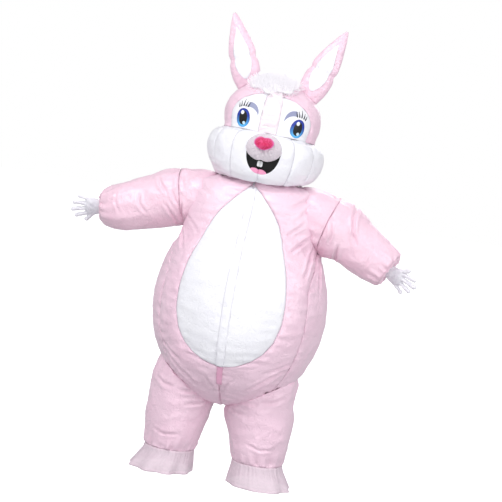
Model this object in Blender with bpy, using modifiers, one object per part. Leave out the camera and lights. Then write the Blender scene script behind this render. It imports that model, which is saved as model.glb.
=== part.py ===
"""An inflatable rabbit mascot suit, worn and filled out, as its sewn pieces.

Sizes are in metres. The sections below are measured up from the hem; the suit hangs from a frame whose
origin lies between the wearer's shoulders. The front faces -Y, and left and right are the viewer's.
"""
import math
from collections import namedtuple

import bmesh
import bpy
import numpy as np
from mathutils import Matrix, Vector

# Driving dimensions
MOUNT_HEIGHT = 1.34  # the wearer's shoulders above the hem
CLOTH = 0.002  # wall of the coated nylon
SEAM_GAP = 0.0006  # between two pieces at a seam, less what the walls lean together
TIP_GAP = 0.0012  # where a panel runs out between two seams
SIDE_TOP_GAP = 0.004  # under the arm
LAY_GAP = 0.0005  # under a piece that lies on another
TRIM_WALL = 0.0015  # of the ears, cuffs and placket
RUFFLE_WALL = 0.0012
FILM_WALL = 0.001  # also of the ears' inner patches
TRIM_LIFT = 0.0014  # from the trunk's or the head's face to what grows out of it
NECK_HEIGHT = 1.360
BODY_PUFF = 0.008  # how far a gore stands out between its seams
HEAD_PUFF = 0.006
PUFF_WIDTH = 20.0  # degrees of a gore under which its puff shrinks
PUFF_FADE = 0.045  # height over which the puff grows from the neck seam and the crotch
BODY_SIDE_SEAM = 57.0  # degrees round from the front
UNDERARM_HEIGHT = 1.104
SIDE_TAPER_HEIGHT = 0.90  # above this the side gore narrows to the underarm
SIDE_FOOT_HEIGHT = 0.42  # below this, inside the leg's opening, the front and back gores meet
HEAD_TILT = 3.2  # degrees, the crown towards +X
HEAD_TURN = 4.5  # degrees, the face towards +X
HEAD_LIFT = 0.0103
NECK_BEND = 0.035  # height above the neck seam over which the tilt grows
CREASE_HEIGHT = 1.553  # where the cheeks meet the upper head
CHEEK_SEAMS = (32.0, 58.0, 105.0)  # degrees round from the chin
BROW_HALF_ANGLE = 11.0
ZIP_HALF_ANGLE = 0.2  # degrees, from the middle to each edge of the zip's opening
PLACKET_WIDTH = 0.036
PLACKET_END_WIDTH = 0.028
PLACKET_TOP = 1.322
PLACKET_LIFT = 0.0008  # over the belly panel
BELLY_RADIUS = 0.35  # turns the placket's width into an angle
BELLY_BOTTOM = 0.547
PLACKET_BOTTOM = 0.464
WINDOW_CENTRE = (0.004, 1.489)  # x and height on the head before it is tilted
WINDOW_HALF_SIZE = (0.076, 0.062)
WINDOW_OVERLAP = 0.009  # film on each side of its opening
FILM_LIFT = LAY_GAP + 0.0030
FILM_BULGE = 0.030
OPENING_DEPTHS = (-0.10, -0.40)  # from where to where the opening's cutter reaches
FILM_LOBE = 0.004
BRIDGE_DOWN, BRIDGE_UP = 0.043, 0.037  # how far below and above the crease the film runs straight
NOSE_CENTRE = (0.002, 1.507)
NOSE_HALF_SIZE = (0.043, 0.029)
NOSE_THICKNESS = 0.024
NOSE_RIM = 0.004
NOSE_LIFT = 0.0029  # over the film, whose facets stand proud of it
TUFT_CENTRE = (-0.018, -0.066)
TUFT_HALF_WIDTH = 0.086
TUFT_REACH = (0.075, 0.085)  # forwards and back
TUFT_LIFT = 0.0012
TUFT_RIM = 0.005
TUFT_RISE = 0.022
TUFT_RINGS = (0.02, 0.45, 0.8, 1.0)
TUFT_COLUMNS = 20
EAR_LEAN = 20.0  # degrees out from upright
ARM_SEAM_GAP = 0.0010  # along the arm, between the shoulder cap and the sleeve
CUFF_INNER_RADIUS = 0.0329
CUFF_CLEARANCE = 0.0012  # inside the sleeve's end
CUFF_RIPPLE = 0.0018
CUFF_PROFILE = ((0.0, -0.003), (0.3, 0.005), (0.75, 0.002), (1.0, -0.014))  # share inwards, distance out
HEM_WAVES = 9
CUFF_WAVES = 14

# The zip's hard pieces, in the slider's own axes: X across, Y out of the cloth, Z up the zip
SLIDER_HEIGHT = 1.336  # above the hem
SLIDER_LENGTH = 0.013
SLIDER_WIDTH = 0.010
SLIDER_BODY = 0.0032
BRIDGE_WIDTH = 0.0042
BRIDGE_LENGTH = 0.0094
BRIDGE_RISE = 0.0040
BRIDGE_BAR = 0.0012
TAB_LENGTH = 0.026
TAB_WIDTH = 0.0085
TAB_THICKNESS = 0.0012
TAB_BAR = 0.0013
TAB_WINDOW = (0.0056, 0.0065)  # round the bridge, across and along
TAB_END_WINDOW = (0.0035, 0.006)
TAB_END_MARGIN = 0.007  # from the tab's lower edge to the middle of the end window
CUTTER_DEPTH = 0.01
TAB_REST = 6.0  # degrees that the tab hangs in from the slider's face, to its lower edge
SLIDER_LIFT = 0.0028  # over the cloth

# Facets
GORE_COLUMNS = 5
BELLY_COLUMNS = 4
BROW_COLUMNS = 2
EYE_COLUMNS = 4
HEAD_SIDE_COLUMNS = 4
HEAD_BACK_COLUMNS = 4
ARM_COLUMNS = 18
SHOULDER_ROWS = 4
SLEEVE_ROWS = 9
LEG_COLUMNS = 18
LEG_ROWS = 8
FINGER_COLUMNS = 6
PALM_COLUMNS = 12
CHEEK_FRONT_COLUMNS = 4
CHEEK_MID_COLUMNS = 3
CHEEK_SIDE_COLUMNS = 4
PLACKET_COLUMNS = 2
WINDOW_RINGS = 4
WINDOW_COLUMNS = 24
EAR_ROWS = 13
EAR_COLUMNS = 6
CLOSEST_ROWS = 0.003  # of a gore's inner rows to its ends, along it

Oval = namedtuple("Oval", "height half_width front_depth back_depth")
Arm = namedtuple("Arm", "x height y radius")
Leg = namedtuple("Leg", "height x y half_width half_depth")
Ear = namedtuple("Ear", "distance half_width half_thickness")
Edge = namedtuple("Edge", "height half_angle")
Drop = namedtuple("Drop", "height depth")
Finger = namedtuple("Finger", "name along across spread length radius")
Palm = namedtuple("Palm", "distance half_width half_thickness")
Hand = namedtuple("Hand", "wrist aim roll")

BODY = [
    Oval(0.340, 0.004, 0.004, 0.004),
    Oval(0.344, 0.060, 0.058, 0.050),
    Oval(0.360, 0.118, 0.113, 0.098),
    Oval(0.385, 0.170, 0.162, 0.138),
    Oval(0.420, 0.222, 0.211, 0.180),
    Oval(0.470, 0.275, 0.264, 0.224),
    Oval(0.540, 0.323, 0.309, 0.262),
    Oval(0.640, 0.364, 0.350, 0.296),
    Oval(0.780, 0.385, 0.370, 0.312),
    Oval(0.900, 0.373, 0.360, 0.302),
    Oval(1.000, 0.344, 0.328, 0.280),
    Oval(1.080, 0.308, 0.284, 0.250),
    Oval(1.140, 0.303, 0.245, 0.226),
    Oval(1.200, 0.314, 0.216, 0.208),
    Oval(1.260, 0.314, 0.192, 0.190),
    Oval(1.310, 0.288, 0.170, 0.172),
    Oval(1.342, 0.240, 0.150, 0.152),
    Oval(NECK_HEIGHT, 0.178, 0.130, 0.132),
]
HEAD = [
    Oval(NECK_HEIGHT + 0.0005, 0.177, 0.130, 0.132),
    Oval(1.367, 0.200, 0.162, 0.152),
    Oval(1.382, 0.219, 0.192, 0.172),
    Oval(1.404, 0.236, 0.216, 0.188),
    Oval(1.436, 0.251, 0.234, 0.200),
    Oval(1.475, 0.259, 0.244, 0.208),
    Oval(1.510, 0.254, 0.242, 0.212),
    Oval(1.535, 0.237, 0.230, 0.212),
    Oval(CREASE_HEIGHT, 0.204, 0.202, 0.209),
    Oval(1.568, 0.204, 0.197, 0.209),
    Oval(1.600, 0.210, 0.198, 0.212),
    Oval(1.640, 0.213, 0.192, 0.211),
    Oval(1.680, 0.204, 0.178, 0.201),
    Oval(1.715, 0.184, 0.154, 0.180),
    Oval(1.745, 0.153, 0.123, 0.148),
    Oval(1.768, 0.114, 0.088, 0.110),
    Oval(1.783, 0.068, 0.050, 0.064),
    Oval(1.789, 0.005, 0.005, 0.005),
]
CHIN_DROP = [  # how far the front of each section hangs below its sides
    Drop(NECK_HEIGHT + 0.0005, 0.0),
    Drop(1.367, 0.018),
    Drop(1.382, 0.040),
    Drop(1.404, 0.044),
    Drop(1.436, 0.036),
    Drop(1.475, 0.018),
    Drop(1.510, 0.005),
    Drop(1.535, 0.0),
]
BELLY = [
    Edge(BELLY_BOTTOM, 0.0),
    Edge(0.552, 7.1),
    Edge(0.563, 13.7),
    Edge(0.587, 21.3),
    Edge(0.624, 28.4),
    Edge(0.682, 34.0),
    Edge(0.759, 37.0),
    Edge(0.862, 38.1),
    Edge(0.965, 37.8),
    Edge(1.064, 36.5),
    Edge(1.116, 34.0),
    Edge(1.170, 28.4),
    Edge(1.219, 21.3),
    Edge(1.272, 12.8),
    Edge(1.302, 8.0),
    Edge(1.328, 2.8),
    Edge(1.337, 0.0),
]
BODY_STOPS = [  # heights, each with its rows to the next
    (0.340, 2),
    (0.400, 1),
    (SIDE_FOOT_HEIGHT, 2),
    (BELLY_BOTTOM, 1),
    (0.552, 1),
    (0.563, 1),
    (0.587, 1),
    (0.624, 1),
    (0.672, 4),
    (1.064, 1),
    (1.100, 3),
    (1.272, 2),
    (1.328, 1),
    (1.337, 1),
    (NECK_HEIGHT, 0),
]
HEAD_STOPS = [
    (HEAD[0].height, 7),
    (CREASE_HEIGHT, 1),
    (1.568, 1),
    (1.590, 1),
    (1.630, 1),
    (1.665, 1),
    (1.690, 1),
    (1.708, 1),
    (1.720, 1),
    (1.726, 3),
    (HEAD[-1].height, 0),
]
EYE_PATCH = [
    Edge(CREASE_HEIGHT, 56.0),
    Edge(1.590, 57.0),
    Edge(1.630, 56.0),
    Edge(1.665, 51.0),
    Edge(1.690, 44.0),
    Edge(1.708, 34.0),
    Edge(1.720, 22.0),
    Edge(1.726, BROW_HALF_ANGLE),
]
ARM_SEAM = 4  # the section where the shoulder cap ends and the sleeve starts
ARM = {
    "left": [
        Arm(-0.150, 1.215, 0.0, 0.114),
        Arm(-0.190, 1.226, 0.0, 0.126),
        Arm(-0.225, 1.234, 0.0, 0.131),
        Arm(-0.280, 1.238, 0.0, 0.134),
        Arm(-0.334, 1.236, 0.0, 0.127),
        Arm(-0.375, 1.222, -0.003, 0.129),
        Arm(-0.450, 1.192, -0.010, 0.123),
        Arm(-0.520, 1.168, -0.017, 0.117),
        Arm(-0.580, 1.150, -0.023, 0.110),
        Arm(-0.630, 1.139, -0.028, 0.101),
        Arm(-0.665, 1.134, -0.032, 0.090),
        Arm(-0.686, 1.132, -0.034, 0.077),
        Arm(-0.694, 1.131, -0.035, 0.069),
    ],
    "right": [
        Arm(0.150, 1.214, 0.0, 0.114),
        Arm(0.190, 1.224, 0.0, 0.127),
        Arm(0.225, 1.230, 0.0, 0.132),
        Arm(0.285, 1.222, 0.0, 0.137),
        Arm(0.340, 1.206, 0.0, 0.133),
        Arm(0.385, 1.192, -0.003, 0.134),
        Arm(0.432, 1.171, -0.008, 0.126),
        Arm(0.462, 1.153, -0.012, 0.115),
        Arm(0.510, 1.124, -0.017, 0.110),
        Arm(0.560, 1.096, -0.023, 0.103),
        Arm(0.600, 1.074, -0.028, 0.095),
        Arm(0.625, 1.060, -0.030, 0.087),
        Arm(0.634, 1.055, -0.031, 0.082),
    ],
}
LEG = {
    "left": [
        Leg(0.570, -0.160, 0.0, 0.140, 0.140),
        Leg(0.480, -0.178, 0.0, 0.158, 0.152),
        Leg(0.400, -0.190, 0.0, 0.157, 0.156),
        Leg(0.300, -0.204, 0.0, 0.147, 0.150),
        Leg(0.210, -0.212, 0.0, 0.136, 0.140),
        Leg(0.140, -0.217, 0.0, 0.124, 0.128),
        Leg(0.106, -0.219, 0.0, 0.114, 0.118),
    ],
    "right": [
        Leg(0.570, 0.142, 0.0, 0.145, 0.140),
        Leg(0.480, 0.153, 0.0, 0.163, 0.152),
        Leg(0.400, 0.157, 0.0, 0.156, 0.156),
        Leg(0.300, 0.166, 0.0, 0.155, 0.152),
        Leg(0.210, 0.178, 0.0, 0.140, 0.142),
        Leg(0.140, 0.185, 0.0, 0.124, 0.128),
        Leg(0.106, 0.187, 0.0, 0.115, 0.118),
    ],
}
FLOUNCE = {
    "left": [
        Leg(0.1056, -0.2192, 0.0, 0.1135, 0.1175),
        Leg(0.085, -0.223, 0.0, 0.117, 0.120),
        Leg(0.045, -0.235, 0.0, 0.130, 0.132),
        Leg(0.000, -0.250, 0.0, 0.143, 0.142),
    ],
    "right": [
        Leg(0.1056, 0.187, 0.0, 0.1145, 0.1175),
        Leg(0.085, 0.190, 0.0, 0.118, 0.120),
        Leg(0.045, 0.198, 0.0, 0.131, 0.132),
        Leg(0.000, 0.207, 0.0, 0.144, 0.143),
    ],
}
FLOUNCE_WAVE_DEPTH = 0.006
EAR = [
    Ear(-0.020, 0.044, 0.024),
    Ear(0.000, 0.050, 0.028),
    Ear(0.035, 0.061, 0.034),
    Ear(0.075, 0.066, 0.036),
    Ear(0.110, 0.064, 0.033),
    Ear(0.127, 0.057, 0.025),
    Ear(0.148, 0.061, 0.030),
    Ear(0.200, 0.053, 0.028),
    Ear(0.250, 0.038, 0.022),
    Ear(0.300, 0.021, 0.014),
    Ear(0.335, 0.005, 0.005),
]
EAR_BASE = {"left": (-0.117, 1.768), "right": (0.156, 1.757)}
EAR_BEND = {"left": 0.0, "right": 0.014}  # how far the tip bends out
INNER_EAR_START, INNER_EAR_END = 0.030, 0.270  # up the ear
INNER_EAR_SHARE = 0.62  # of the ear's width
EAR_BULGE = {"front": 0.9, "back": 0.8}  # share of the ear's half thickness
EAR_PATCH_LIFT = 0.0025  # of the inner patch over the ear's sewing face, past its wall
FINGERS = [
    Finger("index", 0.088, 0.030, 14.0, 0.070, 0.0095),
    Finger("middle", 0.094, 0.010, 4.0, 0.076, 0.0098),
    Finger("ring", 0.090, -0.011, -7.0, 0.070, 0.0094),
    Finger("little", 0.080, -0.030, -20.0, 0.058, 0.0085),
    Finger("thumb", 0.078, 0.030, 42.0, 0.048, 0.0105),
]
PALM = [
    Palm(0.000, 0.031, 0.025),
    Palm(0.030, 0.033, 0.021),
    Palm(0.065, 0.042, 0.017),
    Palm(0.092, 0.040, 0.014),
    Palm(0.102, 0.026, 0.009),
]
GLOVE_WALL = 0.0015
KNUCKLE_DISTANCE = 0.09  # past this the palm's hollow stops short of its end
FINGER_ROOT = 0.018  # of each finger, inside the palm
FINGER_RISE = 0.0011  # of the fingers' middle plane over the palm's
FINGER_PHASE = 0.21  # keeps the fingers' corners off the palm's
FINGER_CORE = 0.0008  # least radius of a finger's hollow
GLOVE_PLACE = {
    "left": Hand((-0.668, 1.135, -0.032), (-0.985, -0.10, -0.14), 62.0),
    "right": Hand((0.610, 1.068, -0.029), (0.87, -0.12, -0.48), 118.0),
}

PINK = (0.91, 0.66, 0.77)
LIGHT_PINK = (0.93, 0.74, 0.82)
WHITE = (0.93, 0.92, 0.96)
SHEER = (0.80, 0.68, 0.74)
CRIMSON = (0.75, 0.03, 0.14)
STEEL = (0.75, 0.74, 0.76)


def clear_scene():
    for obj in list(bpy.data.objects):
        bpy.data.objects.remove(obj, do_unlink=True)


def material(name, colour, roughness=0.45, metallic=0.0):
    found = bpy.data.materials.get(name)
    if found:
        return found
    made = bpy.data.materials.new(name)
    made.use_nodes = True
    shader = made.node_tree.nodes["Principled BSDF"]
    shader.inputs["Base Color"].default_value = (*colour, 1.0)
    shader.inputs["Roughness"].default_value = roughness
    shader.inputs["Metallic"].default_value = metallic
    return made


class Maker:
    """Puts finished meshes into the suit's collection, or into the cutters' collection."""

    def __init__(self):
        self.parts = bpy.data.collections.new("rabbit_mascot_costume")
        self.cutters = bpy.data.collections.new("cutters")
        for collection in (self.parts, self.cutters):
            bpy.context.scene.collection.children.link(collection)
        self.hem = bpy.data.objects.new("hem_level", None)
        self.hem.location.z = -MOUNT_HEIGHT
        self.parts.objects.link(self.hem)

    def place(self, name, mesh, finish=None, wall=0.0, outward=False):
        """An object of the mesh; a wall makes the open surface a cloth of that thickness."""
        obj = bpy.data.objects.new(name, mesh)
        obj.parent = self.hem
        mesh.shade_smooth()
        if wall:
            shell = obj.modifiers.new("wall", "SOLIDIFY")
            shell.thickness = wall
            shell.offset = 1.0 if outward else -1.0
        if finish is None:
            obj.hide_render = True
            obj.display_type = "WIRE"
            self.cutters.objects.link(obj)
        else:
            mesh.materials.append(finish)
            self.parts.objects.link(obj)
        return obj


def boolean(obj, other, operation="DIFFERENCE", solver="EXACT"):
    step = obj.modifiers.new(f"{operation.lower()}_{other.name}", "BOOLEAN")
    step.operation = operation
    step.solver = solver
    step.object = other


def grid_mesh(name, rows, closed=False, cap_start=False, cap_end=False):
    """A mesh through rows of points. Seen from outside, with the rows going up, the columns run anticlockwise."""
    rows = np.asarray(rows, float)
    count_rows, count_columns = rows.shape[:2]
    shape = bmesh.new()
    points = [[shape.verts.new(p) for p in row] for row in rows]
    steps = count_columns if closed else count_columns - 1
    for i in range(count_rows - 1):
        for j in range(steps):
            k = (j + 1) % count_columns
            shape.faces.new((points[i][j], points[i][k], points[i + 1][k], points[i + 1][j]))
    if cap_start:
        shape.faces.new(list(reversed(points[0])))
    if cap_end:
        shape.faces.new(points[-1])
    mesh = bpy.data.meshes.new(name)
    shape.to_mesh(mesh)
    shape.free()
    return mesh


def smooth_through(rows, count):
    """Points on a smooth curve through the rows, evenly spaced along it."""
    rows = np.array([tuple(row) for row in rows], float)
    run = np.concatenate([[0], np.cumsum(np.linalg.norm(np.diff(rows, axis=0), axis=1))])
    return curve_at(rows, run, np.linspace(0, run[-1], count))


def curve_at(rows, run, s):
    """A cubic through the rows, each with the slope between its two neighbours."""
    slope = np.gradient(rows, run, axis=0)
    s = np.clip(np.asarray(s, float), run[0], run[-1])
    i = np.clip(np.searchsorted(run, s, side="right") - 1, 0, len(run) - 2)
    h = (run[i + 1] - run[i])[..., None]
    t = ((s - run[i]) / (run[i + 1] - run[i]))[..., None]
    return (
        (2 * t**3 - 3 * t**2 + 1) * rows[i]
        + (t**3 - 2 * t**2 + t) * h * slope[i]
        + (3 * t**2 - 2 * t**3) * rows[i + 1]
        + (t**3 - t**2) * h * slope[i + 1]
    )


def puff_between(angle, low, high, depth):
    """How far a gore from one seam to the next stands out at an angle."""
    width = np.maximum(high - low, 1e-6)
    u = np.clip((angle - low) / width, 0, 1)
    return depth * np.minimum(1, width / PUFF_WIDTH) * (4 * u * (1 - u)) ** 0.8


class Skin:
    """A closed form of oval sections with seams that run up it, where its gores are pulled in."""

    def __init__(self, rows, puffs, stops, place=None, drop=None):
        self.rows = np.array(rows, float)
        steps = np.diff(self.rows[:, :3], axis=0)
        self.run = np.concatenate([[0], np.cumsum(np.linalg.norm(steps, axis=1))])
        self.puffs = puffs
        self.place = place or Matrix.Identity(4)
        self.drop = drop
        s = np.linspace(0, self.run[-1], 2000)
        self.heights = np.maximum.accumulate(curve_at(self.rows, self.run, s)[:, 0])
        self.steps = s
        spans = []
        for (low, count), (high, _) in zip(stops, stops[1:]):
            spans.append(np.linspace(self.along(low), self.along(high), count + 1)[:-1])
        self.levels = np.concatenate([*spans, [self.run[-1]]])

    def along(self, height):
        """How far along the outline a height is."""
        return np.interp(height, self.heights, self.steps)

    def plain(self, angle, s):
        """The form without its gores. Angles are degrees from the front, positive towards +X."""
        height, width, front, back = np.moveaxis(curve_at(self.rows, self.run, s), -1, 0)
        turn = np.radians(angle)
        depth = np.where(np.cos(turn) > 0, front, back)
        if self.drop:
            height = height - dropped(self.drop, height, np.cos(turn))
        return np.stack([width * np.sin(turn), -depth * np.cos(turn), height], -1)

    def at(self, angle, s, lift=0.0):
        """Points on the outer face, moved out by lift."""
        angle, s = np.broadcast_arrays(np.asarray(angle, float), np.asarray(s, float))
        end = self.run[-1]
        step_s = 1e-4
        low, high = np.clip(s - step_s, 0, end), np.clip(s + step_s, 0, end)
        up = self.plain(angle, high) - self.plain(angle, low)
        around = self.plain(angle + 0.05, s) - self.plain(angle - 0.05, s)
        normal = np.cross(around, up)
        normal /= np.linalg.norm(normal, axis=-1, keepdims=True)
        level = curve_at(self.rows, self.run, s)[..., 0]
        out = self.puffs(np.abs(angle), level) + lift
        points = self.plain(angle, s) + normal * out[..., None]
        bend = np.clip((level[..., None] - NECK_HEIGHT) / NECK_BEND, 0, 1)
        bend = bend**2 * (3 - 2 * bend)
        return points + bend * (tilted(points, self.place) - points)

    def radius(self, s):
        return curve_at(self.rows, self.run, s)[..., 1]


def dropped(table, height, cosine):
    """How far the sections' front hangs down at a height, by the cosine of the angle from the front."""
    depth = np.interp(height, [row.height for row in table], [row.depth for row in table])
    return depth * np.clip(cosine, 0, 1) ** 1.2


def edge_angle(table, height):
    heights = [row.height for row in table]
    return np.interp(height, heights, [row.half_angle for row in table], left=0, right=0)


def side_seam(height):
    """The angle of the seam between a front gore and a side gore."""
    rise = np.clip((height - SIDE_TAPER_HEIGHT) / (UNDERARM_HEIGHT - SIDE_TAPER_HEIGHT), 0, 1)
    fall = np.clip((SIDE_FOOT_HEIGHT - height) / 0.02, 0, 1)
    return BODY_SIDE_SEAM + (90 - BODY_SIDE_SEAM) * np.maximum(rise**1.6, fall)


def body_puffs(angle, height):
    belly = edge_angle(BELLY, height)
    seam = side_seam(height)
    front = puff_between(angle, belly, seam, BODY_PUFF)
    panel = puff_between(angle, -belly, belly, BODY_PUFF)
    side = puff_between(angle, seam, 180 - seam, BODY_PUFF)
    back = puff_between(angle, 180 - seam, np.full_like(angle, 180), BODY_PUFF)
    puff = np.select([angle < belly, angle < seam, angle < 180 - seam], [panel, front, side], back)
    below_neck = np.clip((NECK_HEIGHT - height) / PUFF_FADE, 0, 1)
    over_crotch = np.clip((height - BODY[0].height) / PUFF_FADE, 0, 1)
    return puff * below_neck * over_crotch


def head_puffs(angle, height):
    chin, cheek, ear_line = CHEEK_SEAMS
    lower = np.select(
        [angle < chin, angle < cheek, angle < ear_line],
        [
            puff_between(angle, 0, chin, HEAD_PUFF),
            puff_between(angle, chin, cheek, HEAD_PUFF),
            puff_between(angle, cheek, ear_line, HEAD_PUFF),
        ],
        puff_between(angle, ear_line, np.full_like(angle, 180), HEAD_PUFF),
    )
    patch = np.maximum(edge_angle(EYE_PATCH, height), BROW_HALF_ANGLE)
    upper = np.select(
        [angle < BROW_HALF_ANGLE, angle < patch, angle < ear_line],
        [
            puff_between(angle, -BROW_HALF_ANGLE, BROW_HALF_ANGLE, HEAD_PUFF),
            puff_between(angle, BROW_HALF_ANGLE, patch, HEAD_PUFF),
            puff_between(angle, patch, ear_line, HEAD_PUFF),
        ],
        puff_between(angle, ear_line, np.full_like(angle, 180), HEAD_PUFF),
    )
    blend = np.clip((height - CREASE_HEIGHT + 0.004) / 0.008, 0, 1)
    puff = lower * (1 - blend) + upper * blend
    return puff * np.clip((height - HEAD[0].height) / PUFF_FADE, 0, 1)


def head_place():
    pivot = Matrix.Translation((0.0, 0.0, NECK_HEIGHT))
    turn = Matrix.Rotation(math.radians(HEAD_TURN), 4, "Z")
    tilt = Matrix.Rotation(math.radians(HEAD_TILT), 4, "Y")
    lift = Matrix.Translation((0.0, 0.0, HEAD_LIFT))
    return lift @ pivot @ tilt @ turn @ pivot.inverted()


def gore(maker, name, skin, finish, bounds, low, high, columns, wall=CLOTH, lift=0.0, outward=False):
    """A piece of a skin between two heights and two seams. low and high give its edges' angles at a height.

    Its rows are the skin's own levels, as its trimmer's are.
    """
    from_s, to_s = skin.along(bounds[0]), skin.along(bounds[1])
    inner = [s for s in skin.levels if from_s + CLOSEST_ROWS < s < to_s - CLOSEST_ROWS]
    grid = []
    for s in (from_s, *inner, to_s):
        height = curve_at(skin.rows, skin.run, s)[0]
        gap = math.degrees(SEAM_GAP / 2 / max(float(skin.radius(s)), 0.004))
        start, end = float(low(height)) + gap, float(high(height)) - gap
        end = max(end, start + gap)
        grid.append(skin.at(np.linspace(start, end, columns + 1), s, lift))
    return maker.place(name, grid_mesh(name, grid), finish, wall, outward)


def build_body(maker, skin):
    """The trunk's gores, the belly panel and what lies over the zip."""
    pink = material("pink_nylon", PINK)
    white = material("white_nylon", WHITE)
    bottom, neck = BODY[0].height, NECK_HEIGHT
    side_bounds = (SIDE_FOOT_HEIGHT, UNDERARM_HEIGHT - SIDE_TOP_GAP)
    belly_bounds = (BELLY_BOTTOM + TIP_GAP, BELLY[-1].height - TIP_GAP)
    belly = lambda height: edge_angle(BELLY, height)
    belly_panel = lambda height: min(belly(height - 0.001), belly(height + 0.001))
    back_seam = lambda height: 180 - side_seam(height)
    middle_back = lambda height: 180.0
    zip_edge = lambda height: ZIP_HALF_ANGLE
    pieces = []
    for side, sign in (("left", -1), ("right", 1)):
        spans = [
            ("front", (bottom, neck), belly, side_seam, GORE_COLUMNS, pink),
            ("side", side_bounds, side_seam, back_seam, GORE_COLUMNS, pink),
            ("back", (bottom, neck), back_seam, middle_back, GORE_COLUMNS, pink),
            ("belly", belly_bounds, zip_edge, belly_panel, BELLY_COLUMNS, white),
        ]
        for part, bounds, inner, outer, columns, finish in spans:
            low, high = (inner, outer) if sign > 0 else (mirrored(outer), mirrored(inner))
            piece = gore(maker, f"{part}_{side}", skin, finish, bounds, low, high, columns)
            if part != "belly":
                pieces.append((side, part, piece))
    half_angle = lambda width: lambda height: math.degrees(width / 2 / BELLY_RADIUS)
    hot_pink = material("hot_pink_nylon", PINK)
    for name, bounds, width, finish in (
        ("zip_placket", (BELLY_BOTTOM + 0.002, PLACKET_TOP), PLACKET_WIDTH, white),
        ("zip_placket_end", (PLACKET_BOTTOM, BELLY_BOTTOM), PLACKET_END_WIDTH, hot_pink),
    ):
        edge = half_angle(width)
        low = mirrored(edge)
        gore(maker, name, skin, finish, bounds, low, edge, PLACKET_COLUMNS, TRIM_WALL, PLACKET_LIFT, True)
    return pieces


def mirrored(edge):
    return lambda height: -edge(height)


def arm_rings(side, shrink=0.0):
    """Rings square to the arm's path: those of the shoulder cap, the seam's, and those of the sleeve."""
    rows = np.array([tuple(row) for row in ARM[side]])
    run = np.concatenate([[0], np.cumsum(np.linalg.norm(np.diff(rows, axis=0), axis=1))])
    cap_steps = np.linspace(0, run[ARM_SEAM], SHOULDER_ROWS + 1)
    sleeve_steps = np.linspace(run[ARM_SEAM], run[-1], SLEEVE_ROWS + 1)[1:]
    path = curve_at(rows, run, np.concatenate([cap_steps, sleeve_steps]))
    centres = path[:, [0, 2, 1]]
    along = np.gradient(centres, axis=0)
    along /= np.linalg.norm(along, axis=1, keepdims=True)
    across = np.cross([0.0, 0.0, 1.0], along)
    across /= np.linalg.norm(across, axis=1, keepdims=True)
    other = np.cross(along, across)
    turn = np.linspace(0, 2 * math.pi, ARM_COLUMNS, endpoint=False)
    radius = (path[:, 3] - shrink)[:, None, None]
    circle = np.cos(turn)[None, :, None] * across[:, None] + np.sin(turn)[None, :, None] * other[:, None]
    return centres[:, None] + radius * circle, along


def leg_rings(rows, count_rows, count_columns, shrink=0.0, wave=0.0):
    """Level rings down a leg, read from its sections upwards so that the faces look out."""
    path = smooth_through(rows, count_rows)[::-1]
    turn = np.linspace(0, 2 * math.pi, count_columns, endpoint=False)
    grid = []
    for height, x, y, width, depth in path:
        share = 1 - (height - path[0][0]) / (path[-1][0] - path[0][0])
        swell = 1 + wave * share**1.5 * np.cos(HEM_WAVES * turn + x * 9) / width
        ring = np.stack(
            [
                x + (width - shrink) * swell * np.cos(turn),
                y + (depth - shrink) * swell * np.sin(turn),
                np.full_like(turn, height),
            ],
            -1,
        )
        grid.append(ring)
    return grid


def whole_skin(maker, name, skin, lift, seams):
    """The skin as one closed solid on the gores' own rows and columns, to trim what grows out of it.

    seams gives the seams' angles at a height, from 0 to 180, each with its columns to the next.
    """
    grid = []
    for s in skin.levels:
        height = float(curve_at(skin.rows, skin.run, s)[0])
        stops = seams(height)
        half = np.concatenate([np.linspace(a, b, n + 1)[:-1] for (a, n), (b, _) in zip(stops, stops[1:])])
        turn = np.concatenate([[-180.0], -half[:0:-1], half])
        grid.append(skin.at(turn, s, lift))
    return maker.place(name, grid_mesh(name, grid, closed=True, cap_start=True, cap_end=True))


def body_seams(height):
    belly = max(float(edge_angle(BELLY, height)), 2.0)
    seam = min(float(side_seam(height)), 89.6)
    return [
        (0.0, BELLY_COLUMNS),
        (belly, GORE_COLUMNS),
        (seam, GORE_COLUMNS),
        (180.0 - seam, GORE_COLUMNS),
        (180.0, 0),
    ]


def head_seams(height):
    patch = max(float(edge_angle(EYE_PATCH, height)), BROW_HALF_ANGLE + 2.0)
    return [
        (0.0, BROW_COLUMNS),
        (BROW_HALF_ANGLE, EYE_COLUMNS),
        (patch, HEAD_SIDE_COLUMNS),
        (CHEEK_SEAMS[-1], HEAD_BACK_COLUMNS),
        (180.0, 0),
    ]


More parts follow.
